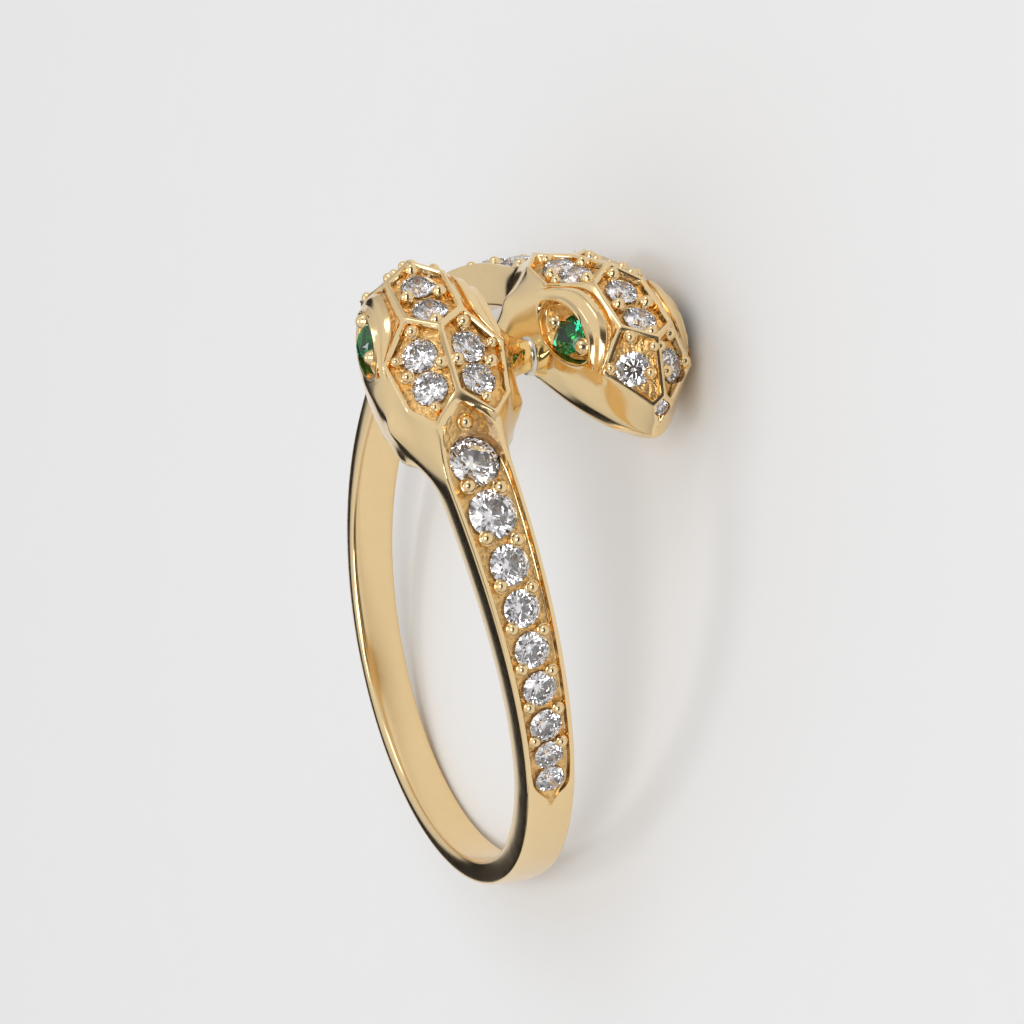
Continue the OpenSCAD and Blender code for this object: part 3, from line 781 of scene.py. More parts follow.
@dataclass
class SnakeCage:
    """Builds one snake's cage: the shank's sections, the neck's pocket, and the head."""

    snake: Snake
    cage: Cage
    foot: list[int] | None = None
    shape: CageShape = CageShape()
    net: dict[tuple[str, Side], int] = field(default_factory=dict)
    rings: list[list[int]] = field(default_factory=list)

    def angles(self) -> list[float]:
        """List the angles of the shank's sections.

        Returns:
            Angles from the foot to the neck.
        """
        low, top, f = self.snake.sizes.row_low_a, self.snake.sizes.neck_a, self.shape
        tip, steps = f.channel_tip[-1], f.channel_steps
        plain = [low * f.plain_share * i / f.plain_steps for i in range(f.plain_steps + 1)]
        channel = [low + tip + (top - low - tip) * i / steps for i in range(1, steps + 1)]
        return plain + [low + a for a in f.channel_tip] + channel

    def section(self, a: float) -> list[Point]:
        """Find a section's points, from the bore's middle round by the outside of the ring.

        Args:
            a: The angle from the foot.

        Returns:
            Fourteen points in the snake's frame.
        """
        sh, s, f = self.snake.shank, self.snake.sizes, self.shape
        o, i, r, c = sh.outer_w(a), sh.inner_w(a), sh.outer_r(a), sh.crown(a)
        if a < s.row_low_a - 1:
            drawn = 1 - f.draw_in * max(0.0, (a / s.row_low_a - f.draw_from) / (1 - f.draw_from))
            rim, floor = (o * share * drawn for share in f.crown_widths)
            rim_r, deep = r - c * f.crown_drops[0], c * f.crown_drops[1]
        else:
            start, run = f.deepen
            deep = s.channel_h * min(1.0, max(0.0, (a - s.row_low_a + start) / run))
            rim, rim_r = max(f.tip_widths[0], sh.channel_half(a)), r
            floor = max(f.tip_widths[1], rim - f.wall_slope * deep / s.channel_h)
        half = [(i * f.bore_flat, s.bore_r), (i, s.bore_r + f.bore_edge),
                ((i + o) / 2 + s.side_bulge, (s.bore_r + (r - c)) / 2), (o, r - c),
                (rim, rim_r), (floor, r - deep)]
        pts = [sh.on(a, 0, s.bore_r)] + [sh.on(a, w, q) for w, q in half] + [sh.on(a, 0, r - deep)]
        return pts + [sh.on(a, -w, q) for w, q in reversed(half)]

    def build_shank(self) -> None:
        """Add the shank's sections, faces and creases."""
        low, angles, n = self.snake.sizes.row_low_a, self.angles(), RING_POINTS
        for a in angles:
            if not self.rings and self.foot is not None:
                self.rings.append([self.foot[0]] + list(reversed(self.foot[1:])))
            else:
                self.rings.append([self.cage.add(self.snake.to_ring(p)) for p in self.section(a)])
        for i, (a, b) in enumerate(zip(self.rings, self.rings[1:])):
            in_channel = angles[i + 1] > low + 0.1
            for j in range(n):
                k = (j + 1) % n
                floor = in_channel and j in CHANNEL_FLOOR
                self.cage.face([a[k], b[k], b[j], a[j]], Finish.GRAINED if floor else Finish.POLISHED)
            lines = dict(BAND_CREASES)
            lines[OUTER_EDGE] += EDGE_GROWTH * min(1.0, angles[i] / low)
            if angles[i] > low - 1:
                lines.update(CHANNEL_CREASES)
            for j, value in lines.items():
                self.cage.crease(a[j], b[j], value)
                self.cage.crease(a[n - j], b[n - j], value)

    def at(self, name: str, side: Side = Side.LEFT) -> int:
        """Number of a net point, which is added when it is first asked for.

        Args:
            name: The point's name.
            side: The half of the head.

        Returns:
            The point's number in the cage.
        """
        key = (name, Side.LEFT if NET[name][1] == 0 else side)
        if key not in self.net:
            self.net[key] = self.cage.add(self.snake.head_point(self.snake.head.net(*key)))
        return self.net[key]

    def line(self, names: Iterable[str], side: Side) -> list[int]:
        """Numbers of several net points, in turn."""
        return [self.at(name, side) for name in names]

    def on_head(self, p: Point) -> int:
        """Add a point of the head's own frame."""
        return self.cage.add(self.snake.head_point(p))

    def cell(self, cell: Cell, side: Side, margin: float, depth: float) -> None:
        """Sink a cell into its loop, with a rounded ridge left round it.

        Args:
            cell: The cell.
            side: The half of the head.
            margin: Half the ridge's width.
            depth: The cell's depth.
        """
        pts = self.snake.head.corners(cell, side)
        up, n = outward(pts), len(pts)
        outer = [self.at(*key) for key in self.snake.head.loop(cell, side)]
        rows = []
        for share, more, drop, _ in CELL_ROWS:
            edge = tight(inset(pts, margin * share + more), CORNER_HOLD)
            rows.append([self.on_head(p - up * depth * drop) for p in edge])
        top = rows[0]
        for i in range(n):
            k = (i + 1) % n
            self.cage.face([outer[i], outer[k], top[3 * k], top[3 * i + 2]])
            self.cage.face([outer[i], top[3 * i + 2], top[3 * i + 1], top[3 * i]])
        self.cage.bands(rows)
        self.cage.face(rows[-1], Finish.GRAINED)
        self.cage.crease_line(outer, RIDGE_CREASE, closed=True)
        self.cage.corner(outer, CORNER_CREASE)
        for row, (_, _, _, value) in zip(rows, CELL_ROWS):
            self.cage.crease_line(row, value, closed=True)

    def eye(self, side: Side) -> None:
        """Raise a rim round an eye and sink its socket.

        Args:
            side: The half of the head.
        """
        pts = self.snake.head.corners(Cell.EYE, side)
        up = outward(pts)
        rows = [[self.at(*key) for key in self.snake.head.loop(Cell.EYE, side)]]
        for margin, height in (*EYE_ROWS, (EYE_FLOOR_MARGIN, -self.snake.sizes.cell_h)):
            rows.append([self.on_head(p + up * height) for p in inset(pts, margin)])
        self.cage.bands(rows)
        self.cage.face(rows[-1], Finish.GRAINED)
        for row, value in zip(rows, EYE_CREASES):
            self.cage.crease_line(row, value, closed=True)
        for row in rows[:3]:
            self.cage.corner([row[0], row[4]] if side is Side.LEFT else [row[-1], row[3]], CORNER_CREASE)

    def brow(self, side: Side) -> tuple[list[int], list[int]]:
        """Build the groove beside a brow's border and the lid above the eye.

        Args:
            side: The half of the head.

        Returns:
            The points across the brow's back end and across its front end, from border to eye.
        """
        head, flip, depth = self.snake.head, side is Side.LEFT, self.snake.sizes.brow_h
        brow_back, side_back, side_front, cheek_top = (head.net(name, side) for name in BROW_BORDER)
        middle = head.between("side back", "side front", 0.5, side)
        border = [brow_back, side_back, middle, side_front, cheek_top]
        lids = [head.between("brow back", "eye back", LID_END, side),
                *(head.net(name, side) for name in LID_LINE),
                head.between("cheek top", "eye front", LID_END, side)]
        facing = [border[1], border[3], lids[2]]
        up = outward(facing if side is Side.LEFT else facing[::-1])
        if up[2] < 0:
            up = -up
        crest = [p + up * h for p, h in zip(lids, LID_RISES)]
        lid = [self.on_head(p) for p in crest]
        upper = [head.net(name, side) for name in EYE_LOOP[:5]]
        fold = [self.on_head(p * (1 - FOLD_SHARE) + q * FOLD_SHARE - up * h)
                for p, q, h in zip(crest, upper, FOLD_DROPS)]
        back, front = (self.on_head(border[end] * 0.5 + lids[end] * 0.5) for end in (0, 4))
        rows = []
        for share, drop in zip(GROOVE_SHARES, (0.0, depth, depth, -GROOVE_LIP)):
            inner = [self.on_head(border[i] * (1 - share) + lids[i] * share - up * drop) for i in (1, 2, 3)]
            rows.append([back, *inner, front])
        rim, top, eye = self.line(BROW_BORDER, side), rows[0], self.line(EYE_LOOP[:5], side)
        for corners in ([rim[0], back, top[1], rim[1]], [rim[1], top[1], top[2], top[3], rim[2]],
                        [rim[2], top[3], front, rim[3]]):
            self.cage.face(corners, flip=flip)
        for a, b, finish in zip(rows, rows[1:], (Finish.POLISHED, Finish.GRAINED, Finish.POLISHED)):
            for corners in ([a[0], b[1], a[1]], [a[1], b[1], b[2], a[2]], [a[2], b[2], b[3], a[3]],
                            [a[3], b[3], a[4]]):
                self.cage.face(corners, finish, flip)
        low = rows[-1]
        for i in range(4):
            self.cage.face([low[i], lid[i], lid[i + 1], low[i + 1]], flip=flip)
        for i in range(4):
            self.cage.face([lid[i], fold[i], fold[i + 1], lid[i + 1]], flip=flip)
            self.cage.face([fold[i], eye[i], eye[i + 1], fold[i + 1]], flip=flip)
        for row, value in zip((*rows, lid, fold), BROW_CREASES):
            self.cage.crease_line(row, value)
        self.cage.corner(rows[0][1:4] + rows[1][1:4], CORNER_CREASE)
        return [rim[0], back, lid[0], fold[0], eye[0]], [rim[3], front, lid[4], fold[4], eye[4]]

    def build_head(self) -> None:
        """Add the head's cells, eyes, brows and plain faces."""
        s = self.snake.sizes
        self.cell(Cell.CENTRE, Side.LEFT, s.ridge_w / 2, s.cell_h)
        self.cell(Cell.NOSE, Side.LEFT, s.ridge_w * NOSE_RIDGE, s.cell_h / 2)
        for side in Side:
            flip = side is Side.RIGHT
            self.cell(Cell.BACK, side, s.ridge_w / 2, s.cell_h)
            self.cell(Cell.FRONT, side, s.ridge_w / 2, s.cell_h)
            self.eye(side)
            back, front = self.brow(side)
            self.cage.face(back + self.line(("jaw back", "neck side", "shoulder"), side), flip=flip)
            self.cage.face(self.line(("cheek top", "lip middle", "lip"), side) + front[:0:-1], flip=flip)
            for names in PLAIN_FACES:
                self.cage.face(self.line(names, side), flip=flip)
            for names, value in HEAD_CREASES:
                self.cage.crease_line(self.line(names, side), value)
            self.cage.corner(self.line(("under neck", "under back", "neck side"), side), UNDER_CORNER)
        left, right = (self.line(UNDER_LINE, side) for side in Side)
        for i in range(len(UNDER_LINE) - 1):
            self.cage.face([left[i], left[i + 1], right[i + 1], right[i]])
        self.cage.face([left[-1], self.at("chin"), right[-1]])

    def near(self, apex: int, other: int) -> int:
        """Add a point a little way from an apex, so that smoothing keeps it pointed."""
        pts, hold = self.cage.points, self.shape.tip_hold
        return self.cage.add(pts[apex] * (1 - hold) + pts[other] * hold)

    def build_neck(self) -> None:
        """Join the last section to the head, with the channel's upper end running up under the nape."""
        s, f, last, pts = self.snake.sizes, self.shape, self.rings[-1], self.cage.points
        foot, along, out = self.snake.neck_line()
        nape = pts[self.at("nape")]
        apex_top = self.cage.add(nape - along * f.tip_back + out * f.tip_rise)
        apex_floor = self.cage.add(nape - along * f.floor_tip_back - out * s.channel_h)
        rims, floors = {}, {}
        for side in Side:
            collar = pts[self.at("collar", side)]
            inwards = foot + along * float(np.dot(collar - foot, along)) - collar
            inwards -= out * float(np.dot(inwards, out))
            rim = collar + unit(inwards) * s.rim_w * f.rim_share - along * f.rim_back
            rims[side] = self.cage.add(rim)
            level = rim - out * float(np.dot(rim - foot, out))
            floors[side] = self.cage.add(level + unit(inwards) * f.pocket_wall - out * s.channel_h)
        low_mid = foot + along * float(np.dot(pts[floors[Side.LEFT]] - foot, along))
        floor_mid = self.cage.add(low_mid - out * s.channel_h)
        # Each half of the last section, from the bore's middle to the channel's
        halves = {Side.LEFT: last[:8], Side.RIGHT: [last[0]] + last[:6:-1]}
        for side in Side:
            e, flip = halves[side], side is Side.RIGHT
            rim, floor = rims[side], floors[side]
            collar, shoulder, neck, under = self.line(("collar", "shoulder", "neck side", "under neck"), side)
            near_top, near_floor = self.near(apex_top, rim), self.near(apex_floor, floor)
            for corners in ([e[4], e[5], rim, collar], [collar, rim, near_top, apex_top, self.at("nape")],
                            [e[5], e[6], floor, rim], [rim, floor, near_floor, near_top],
                            [near_top, near_floor, apex_floor, apex_top]):
                self.cage.face(corners, flip=flip)
            self.cage.face([e[6], e[7], floor_mid, floor], Finish.GRAINED, flip)
            self.cage.face([floor, floor_mid, apex_floor, near_floor], Finish.GRAINED, flip)
            self.cage.face([e[3], e[4], collar, shoulder, neck], flip=flip)
            self.cage.face([e[2], e[3], neck, under], flip=flip)
            if side is Side.LEFT:
                self.cage.face([e[0], e[1], e[2], under, self.at("under neck", Side.RIGHT)])
            lines = ([e[4], collar], [e[5], rim, near_top, apex_top], [e[6], floor, near_floor, apex_floor])
            for row, value in zip(lines, NECK_CREASES):
                self.cage.crease_line(row, value)
            self.cage.corner([rim, floor, apex_top, apex_floor], POCKET_CORNER)
        e = halves[Side.RIGHT]
        self.cage.face([e[0], self.at("under neck", Side.RIGHT), e[2], e[1]])

    def build(self) -> list[int]:
        """Build the whole snake.

        Returns:
            The foot's ring of points, for the other snake to share.
        """
        self.build_shank()
        self.build_head()
        self.build_neck()
        return self.rings[0]


def new_object(name: str, data: bpy.types.ID, *materials: bpy.types.Material) -> bpy.types.Object:
    """Put a mesh, a lamp or a camera in the scene.

    Args:
        name: The object's name.
        data: Its data.
        materials: Its finishes, one for each slot.

    Returns:
        The object.
    """
    obj = bpy.data.objects.new(name, data)
    bpy.context.scene.collection.objects.link(obj)
    for mat in materials:
        data.materials.append(mat)
    return obj


def smooth_by_angle(mesh: bpy.types.Mesh, degrees: float) -> None:
    """Shade a mesh smooth, apart from edges sharper than an angle.

    Args:
        mesh: The mesh.
        degrees: The angle.
    """
    bm = bmesh.new()
    bm.from_mesh(mesh)
    limit = math.radians(degrees)
    for f in bm.faces:
        f.smooth = True
    for e in bm.edges:
        e.smooth = len(e.link_faces) != 2 or e.calc_face_angle(0.0) < limit
    bm.to_mesh(mesh)
    bm.free()


def apply_modifiers(obj: bpy.types.Object) -> None:
    """Replace an object's mesh by the one that its modifiers make.

    Args:
        obj: The object.
    """
    graph = bpy.context.evaluated_depsgraph_get()
    made = bpy.data.meshes.new_from_object(obj.evaluated_get(graph))
    obj.modifiers.clear()
    obj.data = made


@dataclass
class Wiring:
    """A node tree, with one way to add a node, set its sockets and join it to others."""

    tree: bpy.types.NodeTree

    def add(self, kind: str, values: Values | None = None, links: Links | None = None,
            **options: str) -> bpy.types.Node:
        """Add a node.

        Args:
            kind: The node's type.
            values: Plain values of its sockets.
            links: Sockets of other nodes that feed its own.
            options: Its named choices, which are set first.

        Returns:
            The node.
        """
        node = self.tree.nodes.new(kind)
        for name, choice in options.items():
            setattr(node, name, choice)
        for key, value in (values or {}).items():
            node.inputs[key].default_value = value
        for key, socket in (links or {}).items():
            self.tree.links.new(socket, node.inputs[key])
        return node

    def noise(self, scale: float, detail: float) -> Socket:
        """Add a noise over the object's own coordinates.

        Args:
            scale: Waves in a metre.
            detail: The noise's detail.

        Returns:
            The socket of the noise.
        """
        where = self.add("ShaderNodeTexCoord").outputs["Object"]
        values = {"Scale": scale, "Detail": detail}
        return self.add("ShaderNodeTexNoise", values, {"Vector": where}).outputs["Fac"]

    def ramp(self, value: Socket, *stops: tuple[float, Colour]) -> Socket:
        """Colour a value by a ramp.

        Args:
            value: The value's socket.
            stops: Positions with their colours, in rising order.

        Returns:
            The colour's socket.
        """
        node = self.add("ShaderNodeValToRGB", links={"Fac": value})
        elements = node.color_ramp.elements
        while len(elements) < len(stops):
            elements.new(0.5)
        for element, (position, colour) in zip(elements, stops):
            element.position = position
            element.color = (*colour, 1)
        return node.outputs["Color"]

    def fade(self, value: Socket, start: float, end: float) -> Socket:
        """Turn a value smoothly from 0 to 1.

        Args:
            value: The value's socket.
            start: The value at which it is 0.
            end: The value at which it is 1.

        Returns:
            The socket of the faded value.
        """
        falls = start > end
        values = {"From Min": min(start, end), "From Max": max(start, end),
                  "To Min": 1.0 if falls else 0.0, "To Max": 0.0 if falls else 1.0}
        node = self.add("ShaderNodeMapRange", values, {"Value": value}, interpolation_type="SMOOTHSTEP")
        return node.outputs["Result"]

    def facing(self, direction: Socket, towards: tuple[float, float, float], start: float,
               end: float) -> Socket:
        """Tell how far a direction lies within a zone round another one."""
        node = self.add("ShaderNodeVectorMath", {1: towards}, {0: direction}, operation="DOT_PRODUCT")
        return self.fade(node.outputs["Value"], start, end)

    def mix(self, share: Socket, first: Socket, second: Colour) -> Socket:
        """Mix a plain colour into another one."""
        links = {"Factor": share, "A": first}
        return self.add("ShaderNodeMix", {"B": (*second, 1)}, links, data_type="RGBA").outputs["Result"]


@dataclass(frozen=True)
class MaterialSpec:
    """Base of the finishes: a name, a colour, and how it is bumped."""

    name: str
    colour: Colour
    bump_strength: float = 0.0
    bump_height: float = 0.0

    # Plain values of the shader's sockets
    SOCKETS = {}

    def dress(self, wire: Wiring, shader: bpy.types.Node) -> None:
        """Add the finish's own nodes.

        Args:
            wire: The node tree.
            shader: The main shader.
        """

    def make(self) -> bpy.types.Material:
        """Make the material.

        Returns:
            The material.
        """
        mat = bpy.data.materials.new(self.name)
        mat.use_nodes = True
        shader = mat.node_tree.nodes["Principled BSDF"]
        for key, value in {"Base Color": (*self.colour, 1), **self.SOCKETS}.items():
            shader.inputs[key].default_value = value
        self.dress(Wiring(mat.node_tree), shader)
        return mat

    def tone(self, wire: Wiring, shader: bpy.types.Node, value: Socket, dark: float, low: float,
             high: float) -> None:
        """Shade the colour by a value."""
        colour = wire.ramp(value, (low, tuple(c * dark for c in self.colour)), (high, self.colour))
        wire.tree.links.new(colour, shader.inputs["Base Color"])

    def bump(self, wire: Wiring, shader: bpy.types.Node, height: Socket) -> None:
        """Bump the shader by a height.

        Args:
            wire: The node tree.
            shader: The main shader.
            height: The height's socket.
        """
        values = {"Strength": self.bump_strength, "Distance": self.bump_height}
        node = wire.add("ShaderNodeBump", values, {"Height": height})
        wire.tree.links.new(node.outputs["Normal"], shader.inputs["Normal"])


@dataclass(frozen=True)
class PolishedGold(MaterialSpec):
    """Polished yellow gold with faint waves and fine marks."""

    bump_strength: float = 0.35
    bump_height: float = 0.00001
    roughness: float = 0.12
    marks: float = 2600
    waves: float = 900

    SOCKETS = {"Metallic": 1.0}

    def dress(self, wire: Wiring, shader: bpy.types.Node) -> None:
        """Add the marks and the waves.

        Args:
            wire: The node tree.
            shader: The main shader.
        """
        marks = wire.noise(self.marks, 4)
        self.tone(wire, shader, marks, 0.97, 0.3, 0.7)
        values = {"To Min": self.roughness * 0.8, "To Max": self.roughness * 1.35}
        rough = wire.add("ShaderNodeMapRange", values, {"Value": marks})
        wire.tree.links.new(rough.outputs["Result"], shader.inputs["Roughness"])
        self.bump(wire, shader, wire.noise(self.waves, 1))


@dataclass(frozen=True)
class GrainedGold(MaterialSpec):
    """Deep, uneven gold at the bottom of the cells and the channel."""

    bump_strength: float = 0.7
    bump_height: float = 0.0001

    SOCKETS = {"Metallic": 1.0, "Roughness": 0.28}

    def dress(self, wire: Wiring, shader: bpy.types.Node) -> None:
        """Add the grain.

        Args:
            wire: The node tree.
            shader: The main shader.
        """
        grain = wire.noise(7000, 3)
        self.tone(wire, shader, grain, 0.66, 0.35, 0.62)
        self.bump(wire, shader, grain)


@dataclass(frozen=True)
class Solder(MaterialSpec):
    """Pale solder of the seam round the link."""

    bump_strength: float = 0.3
    bump_height: float = 0.00003

    SOCKETS = {"Metallic": 1.0, "Roughness": 0.2}

    def dress(self, wire: Wiring, shader: bpy.types.Node) -> None:
        """Add the grain."""
        self.bump(wire, shader, wire.noise(5000, 2))


@dataclass(frozen=True)
class Gem(MaterialSpec):
    """Clear cut stone, with its own tint and breaking of light."""

    ior: float = 2.2
    tint_depth: float = 0.0

    SOCKETS = {"Roughness": 0.0, "Transmission Weight": 1.0}

    def dress(self, wire: Wiring, shader: bpy.types.Node) -> None:
        """Break the light and add the cloudy tint."""
        shader.inputs["IOR"].default_value = self.ior
        self.tone(wire, shader, wire.noise(1500, 1), 1 - self.tint_depth, 0.3, 0.7)


@dataclass(frozen=True)
class Paper(MaterialSpec):
    """Plain pale floor."""

    SOCKETS = {"Roughness": 0.7, "Specular IOR Level": 0.2}

    def dress(self, wire: Wiring, shader: bpy.types.Node) -> None:
        """Add the faint fibres."""
        self.tone(wire, shader, wire.noise(400, 2), 0.99, 0.0, 1.0)


class Finishes:
    """All the finishes of the ring and its floor."""

    def __init__(self) -> None:
        """Make each finish."""
        self.gold = PolishedGold("polished_gold", (0.93, 0.70, 0.38)).make()
        self.deep_gold = PolishedGold("deep_gold", (0.95, 0.64, 0.24), roughness=0.1).make()
        self.grained = GrainedGold("grained_gold", (0.95, 0.60, 0.24)).make()
        self.solder = Solder("solder", (0.80, 0.76, 0.66)).make()
        self.white = Gem("white_brilliant", (1.0, 0.985, 1.0), ior=2.35, tint_depth=0.03).make()
        self.green = Gem("emerald", (0.02, 0.50, 0.26), ior=1.58, tint_depth=0.3).make()
        self.paper = Paper("paper", (0.86, 0.86, 0.86)).make()


@dataclass
class Goldwork:
    """Base of the gold pieces: the snakes, how they rest, and the finishes."""

    snakes: tuple[Snake, Snake]
    pose: RestPose
    finishes: Finishes


@dataclass
class GoldBody(Goldwork):
    """The ring's gold: the two snakes as one smooth mesh, with seats cut for the stones."""

    levels: int = 3
    seat_steps: int = 32
    seat_top: float = 0.45
    seat_below: float = 0.06
    girdle_ease: float = 0.01
    sharp_from: float = 38

    def build(self) -> bpy.types.Object:
        """Build the mesh and dress it.

        Returns:
            The object.
        """
        cage, name = Cage(), "gold_snakes"
        foot = SnakeCage(self.snakes[0], cage).build()
        SnakeCage(self.snakes[1], cage, foot).build()
        obj = new_object(name, cage.mesh(name, self.pose), self.finishes.gold, self.finishes.grained)
        sub = obj.modifiers.new("smooth", "SUBSURF")
        sub.levels = sub.render_levels = self.levels
        sub.use_limit_surface = False
        sub.boundary_smooth = "PRESERVE_CORNERS"
        apply_modifiers(obj)
        for part in (0, 1):
            cutter = self.seats(part)
            cut = obj.modifiers.new("seats", "BOOLEAN")
            cut.operation, cut.solver, cut.object = "DIFFERENCE", "MANIFOLD", cutter
            apply_modifiers(obj)
            bpy.data.objects.remove(cutter)
        smooth_by_angle(obj.data, self.sharp_from)
        return obj

    def seats(self, part: int) -> bpy.types.Object:
        """Join every second stone's seat into one cutter, so that no two seats in it overlap.

        Args:
            part: 0 or 1, for the even or the odd stones.

        Returns:
            The cutter.
        """
        s, cage = self.snakes[0].sizes, Cage()
        for snake in self.snakes:
            for i, (place, d) in enumerate(snake.settings()):
                # The back cells' stones are listed left and right in turn, so their pairs count as one
                if (i // 2 if 2 <= i < 6 else i) % 2 != part:
                    continue
                r, low = d / 2 + s.stone_gap, -d * (s.girdle_share + s.pavilion_share) - self.seat_below
                wall = -d * s.girdle_share - self.girdle_ease
                profile = [(0, low), (r, wall), (r, self.seat_top), (0, self.seat_top)]
                cage.stamp(lathe(profile, self.seat_steps), place, finish=Finish.GRAINED)
        return new_object("seat_cutter", cage.mesh("seat_cutter", self.pose))


@dataclass
class ProngBeads(Goldwork):
    """The round beads that hold the stones, as one joined mesh of small domes."""

    profile: tuple[tuple[float, float], ...] = (
        (1.0, -1.6), (1.0, 0.0), (0.98, 0.16), (0.92, 0.27), (0.85, 0.28), (0.80, 0.40), (0.66, 0.66),
        (0.44, 0.86), (0.20, 0.96), (0.0, 0.98))
    steps: int = 20
    head_size: float = 0.66
    head_sink: float = 0.3
    row_sink: float = 0.35
    row_stagger: float = 0.4
    neck_sink: float = 0.12
    sharp_from: float = 60

    def places(self) -> list[tuple[Place, float]]:
        """List the beads.

        Returns:
            Each bead's place, at the foot of its dome, with its radius.
        """
        out = []
        for snake in self.snakes:
            s, sh = snake.sizes, snake.shank
            for b in HEAD_BEADS:
                r = s.bead_d * self.head_size * b.size
                for side in (Side.LEFT,) if b.side == 0 else tuple(Side):
                    out.append((snake.head_place(snake.head.place(b, side, r * self.head_sink)), r))
            foot, along, up = snake.neck_line()
            out.append((Place(foot + along * NECK_BEAD[0] - up * self.neck_sink, up), NECK_BEAD[1]))
            for i, (size, share) in enumerate(ROW_BEADS):
                a, r = (sh.row_a(i) + sh.row_a(i + 1)) / 2, s.bead_d * size
                for side in (1, -1):
                    w, depth = side * (sh.channel_half(a) * share), r * self.row_sink
                    out.append((snake.shank_place(a + side * self.row_stagger, w, sh.outer_r(a) - depth), r))
        return out

    def build(self) -> bpy.types.Object:
        """Build the mesh and dress it.

        Returns:
            The object.
        """
        dome, cage, name = lathe(list(self.profile), self.steps), Cage(), "prong_beads"
        for place, r in self.places():
            cage.stamp(dome, place, r)
        obj = new_object(name, cage.mesh(name, self.pose), self.finishes.gold)
        smooth_by_angle(obj.data, self.sharp_from)
        return obj


@dataclass
class SolderLink(Goldwork):
    """The short bar that joins the two heads, with its pale seam."""

    steps: int = 48
    stations: int = 40
    waist_x: float = 0.3
    waist_half: float = 0.2
    flare_run: float = 0.9
    flare_power: float = 1.3
    flare_left: float = 1.7
    flare_right: float = 0.85
    flare_most: float = 1.5
    bar_unevenness: float = 0.17
    seam_unevenness: float = 0.01
    bore_clear: float = 0.14
    reach_in: float = 0.6
    seam_foot: float = 0.9
    seam_edge: float = 0.03
    seam_places: tuple[float, ...] = (0.33, 0.35, 0.40, 0.50, 0.55, 0.57)
    waves: int = 6
    wave_twist: float = 2.3
    phase_most: float = 6.28
    seed: int = 7
    sharp_from: float = 40

    def turned(self, name: str, profile: Profile, rough: float, mat: bpy.types.Material) -> bpy.types.Object:
        """Turn a profile round the bar's axis and make it slightly uneven.

        Args:
            name: The object's name.
            profile: Radius and place along the bar.
            rough: Unevenness, as a share of the radius.
            mat: The finish.

        Returns:
            The object.
        """
        s, n = self.snakes[0].sizes, self.waves
        phase = np.random.default_rng(self.seed).uniform(0, self.phase_most, n)
        pts, faces = lathe(profile, self.steps)
        cage = Cage()
        for p in pts:
            t, x = math.atan2(p[1], p[0]), p[2]
            wave = sum(math.sin((k + 2) * t + phase[k] + x * (k + 1) * self.wave_twist) for k in range(n)) / n
            q = p * np.array([1 + rough * wave, 1 + rough * wave, 1])
            clear = math.sqrt((s.bore_r + self.bore_clear) ** 2 - q[0] ** 2)
            cage.add(np.array([q[2], q[0], max(clear, s.bore_r + s.link_h + q[1])]))
        for f in faces:
            cage.face(f)
        obj = new_object(name, cage.mesh(name, self.pose), mat)
        smooth_by_angle(obj.data, self.sharp_from)
        return obj

    def bar_r(self, x: float) -> float:
        """Radius of the bar, which is thin in its waist and flares towards both heads.

        Args:
            x: Place along the bar.

        Returns:
            The radius in millimetres.
        """
        side = self.flare_left if x < self.waist_x else self.flare_right
        beyond = max(0.0, (abs(x - self.waist_x) - self.waist_half) / self.flare_run)
        return self.snakes[0].sizes.link_d / 2 * (1 + min(self.flare_most, side * beyond ** self.flare_power))

    def build(self) -> list[bpy.types.Object]:
        """Build the bar and the seam.

        Returns:
            The two objects.
        """
        s = self.snakes[0].sizes
        inner, rim = s.link_d / 2 * self.seam_foot, s.seam_d / 2
        half = (s.head_spacing - s.head_w * self.reach_in) / 2
        bar = [(self.bar_r(x), float(x)) for x in np.linspace(-half, half, self.stations)]
        edge = rim - self.seam_edge
        seam = list(zip((inner, edge, rim, rim, edge, inner), self.seam_places))
        return [self.turned("solder_link", bar, self.bar_unevenness, self.finishes.deep_gold),
                self.turned("solder_seam", seam, self.seam_unevenness, self.finishes.solder)]


# The room's light by height, and the lamps: name, place in metres, side in metres, power in watts
SKY = ((0.0, (0.62, 0.62, 0.64)), (0.3, (0.8, 0.8, 0.82)), (0.8, (1.0, 1.0, 1.0)))
LAMPS = (("key", (-0.35, -0.25, 0.55), 0.35, 1.4), ("fill", (0.3, -0.5, 0.35), 0.25, 0.4),
         ("top", (0.1, 0.15, 0.6), 0.12, 0.3))
LAMP_AIM = (0, 0, 0.004)


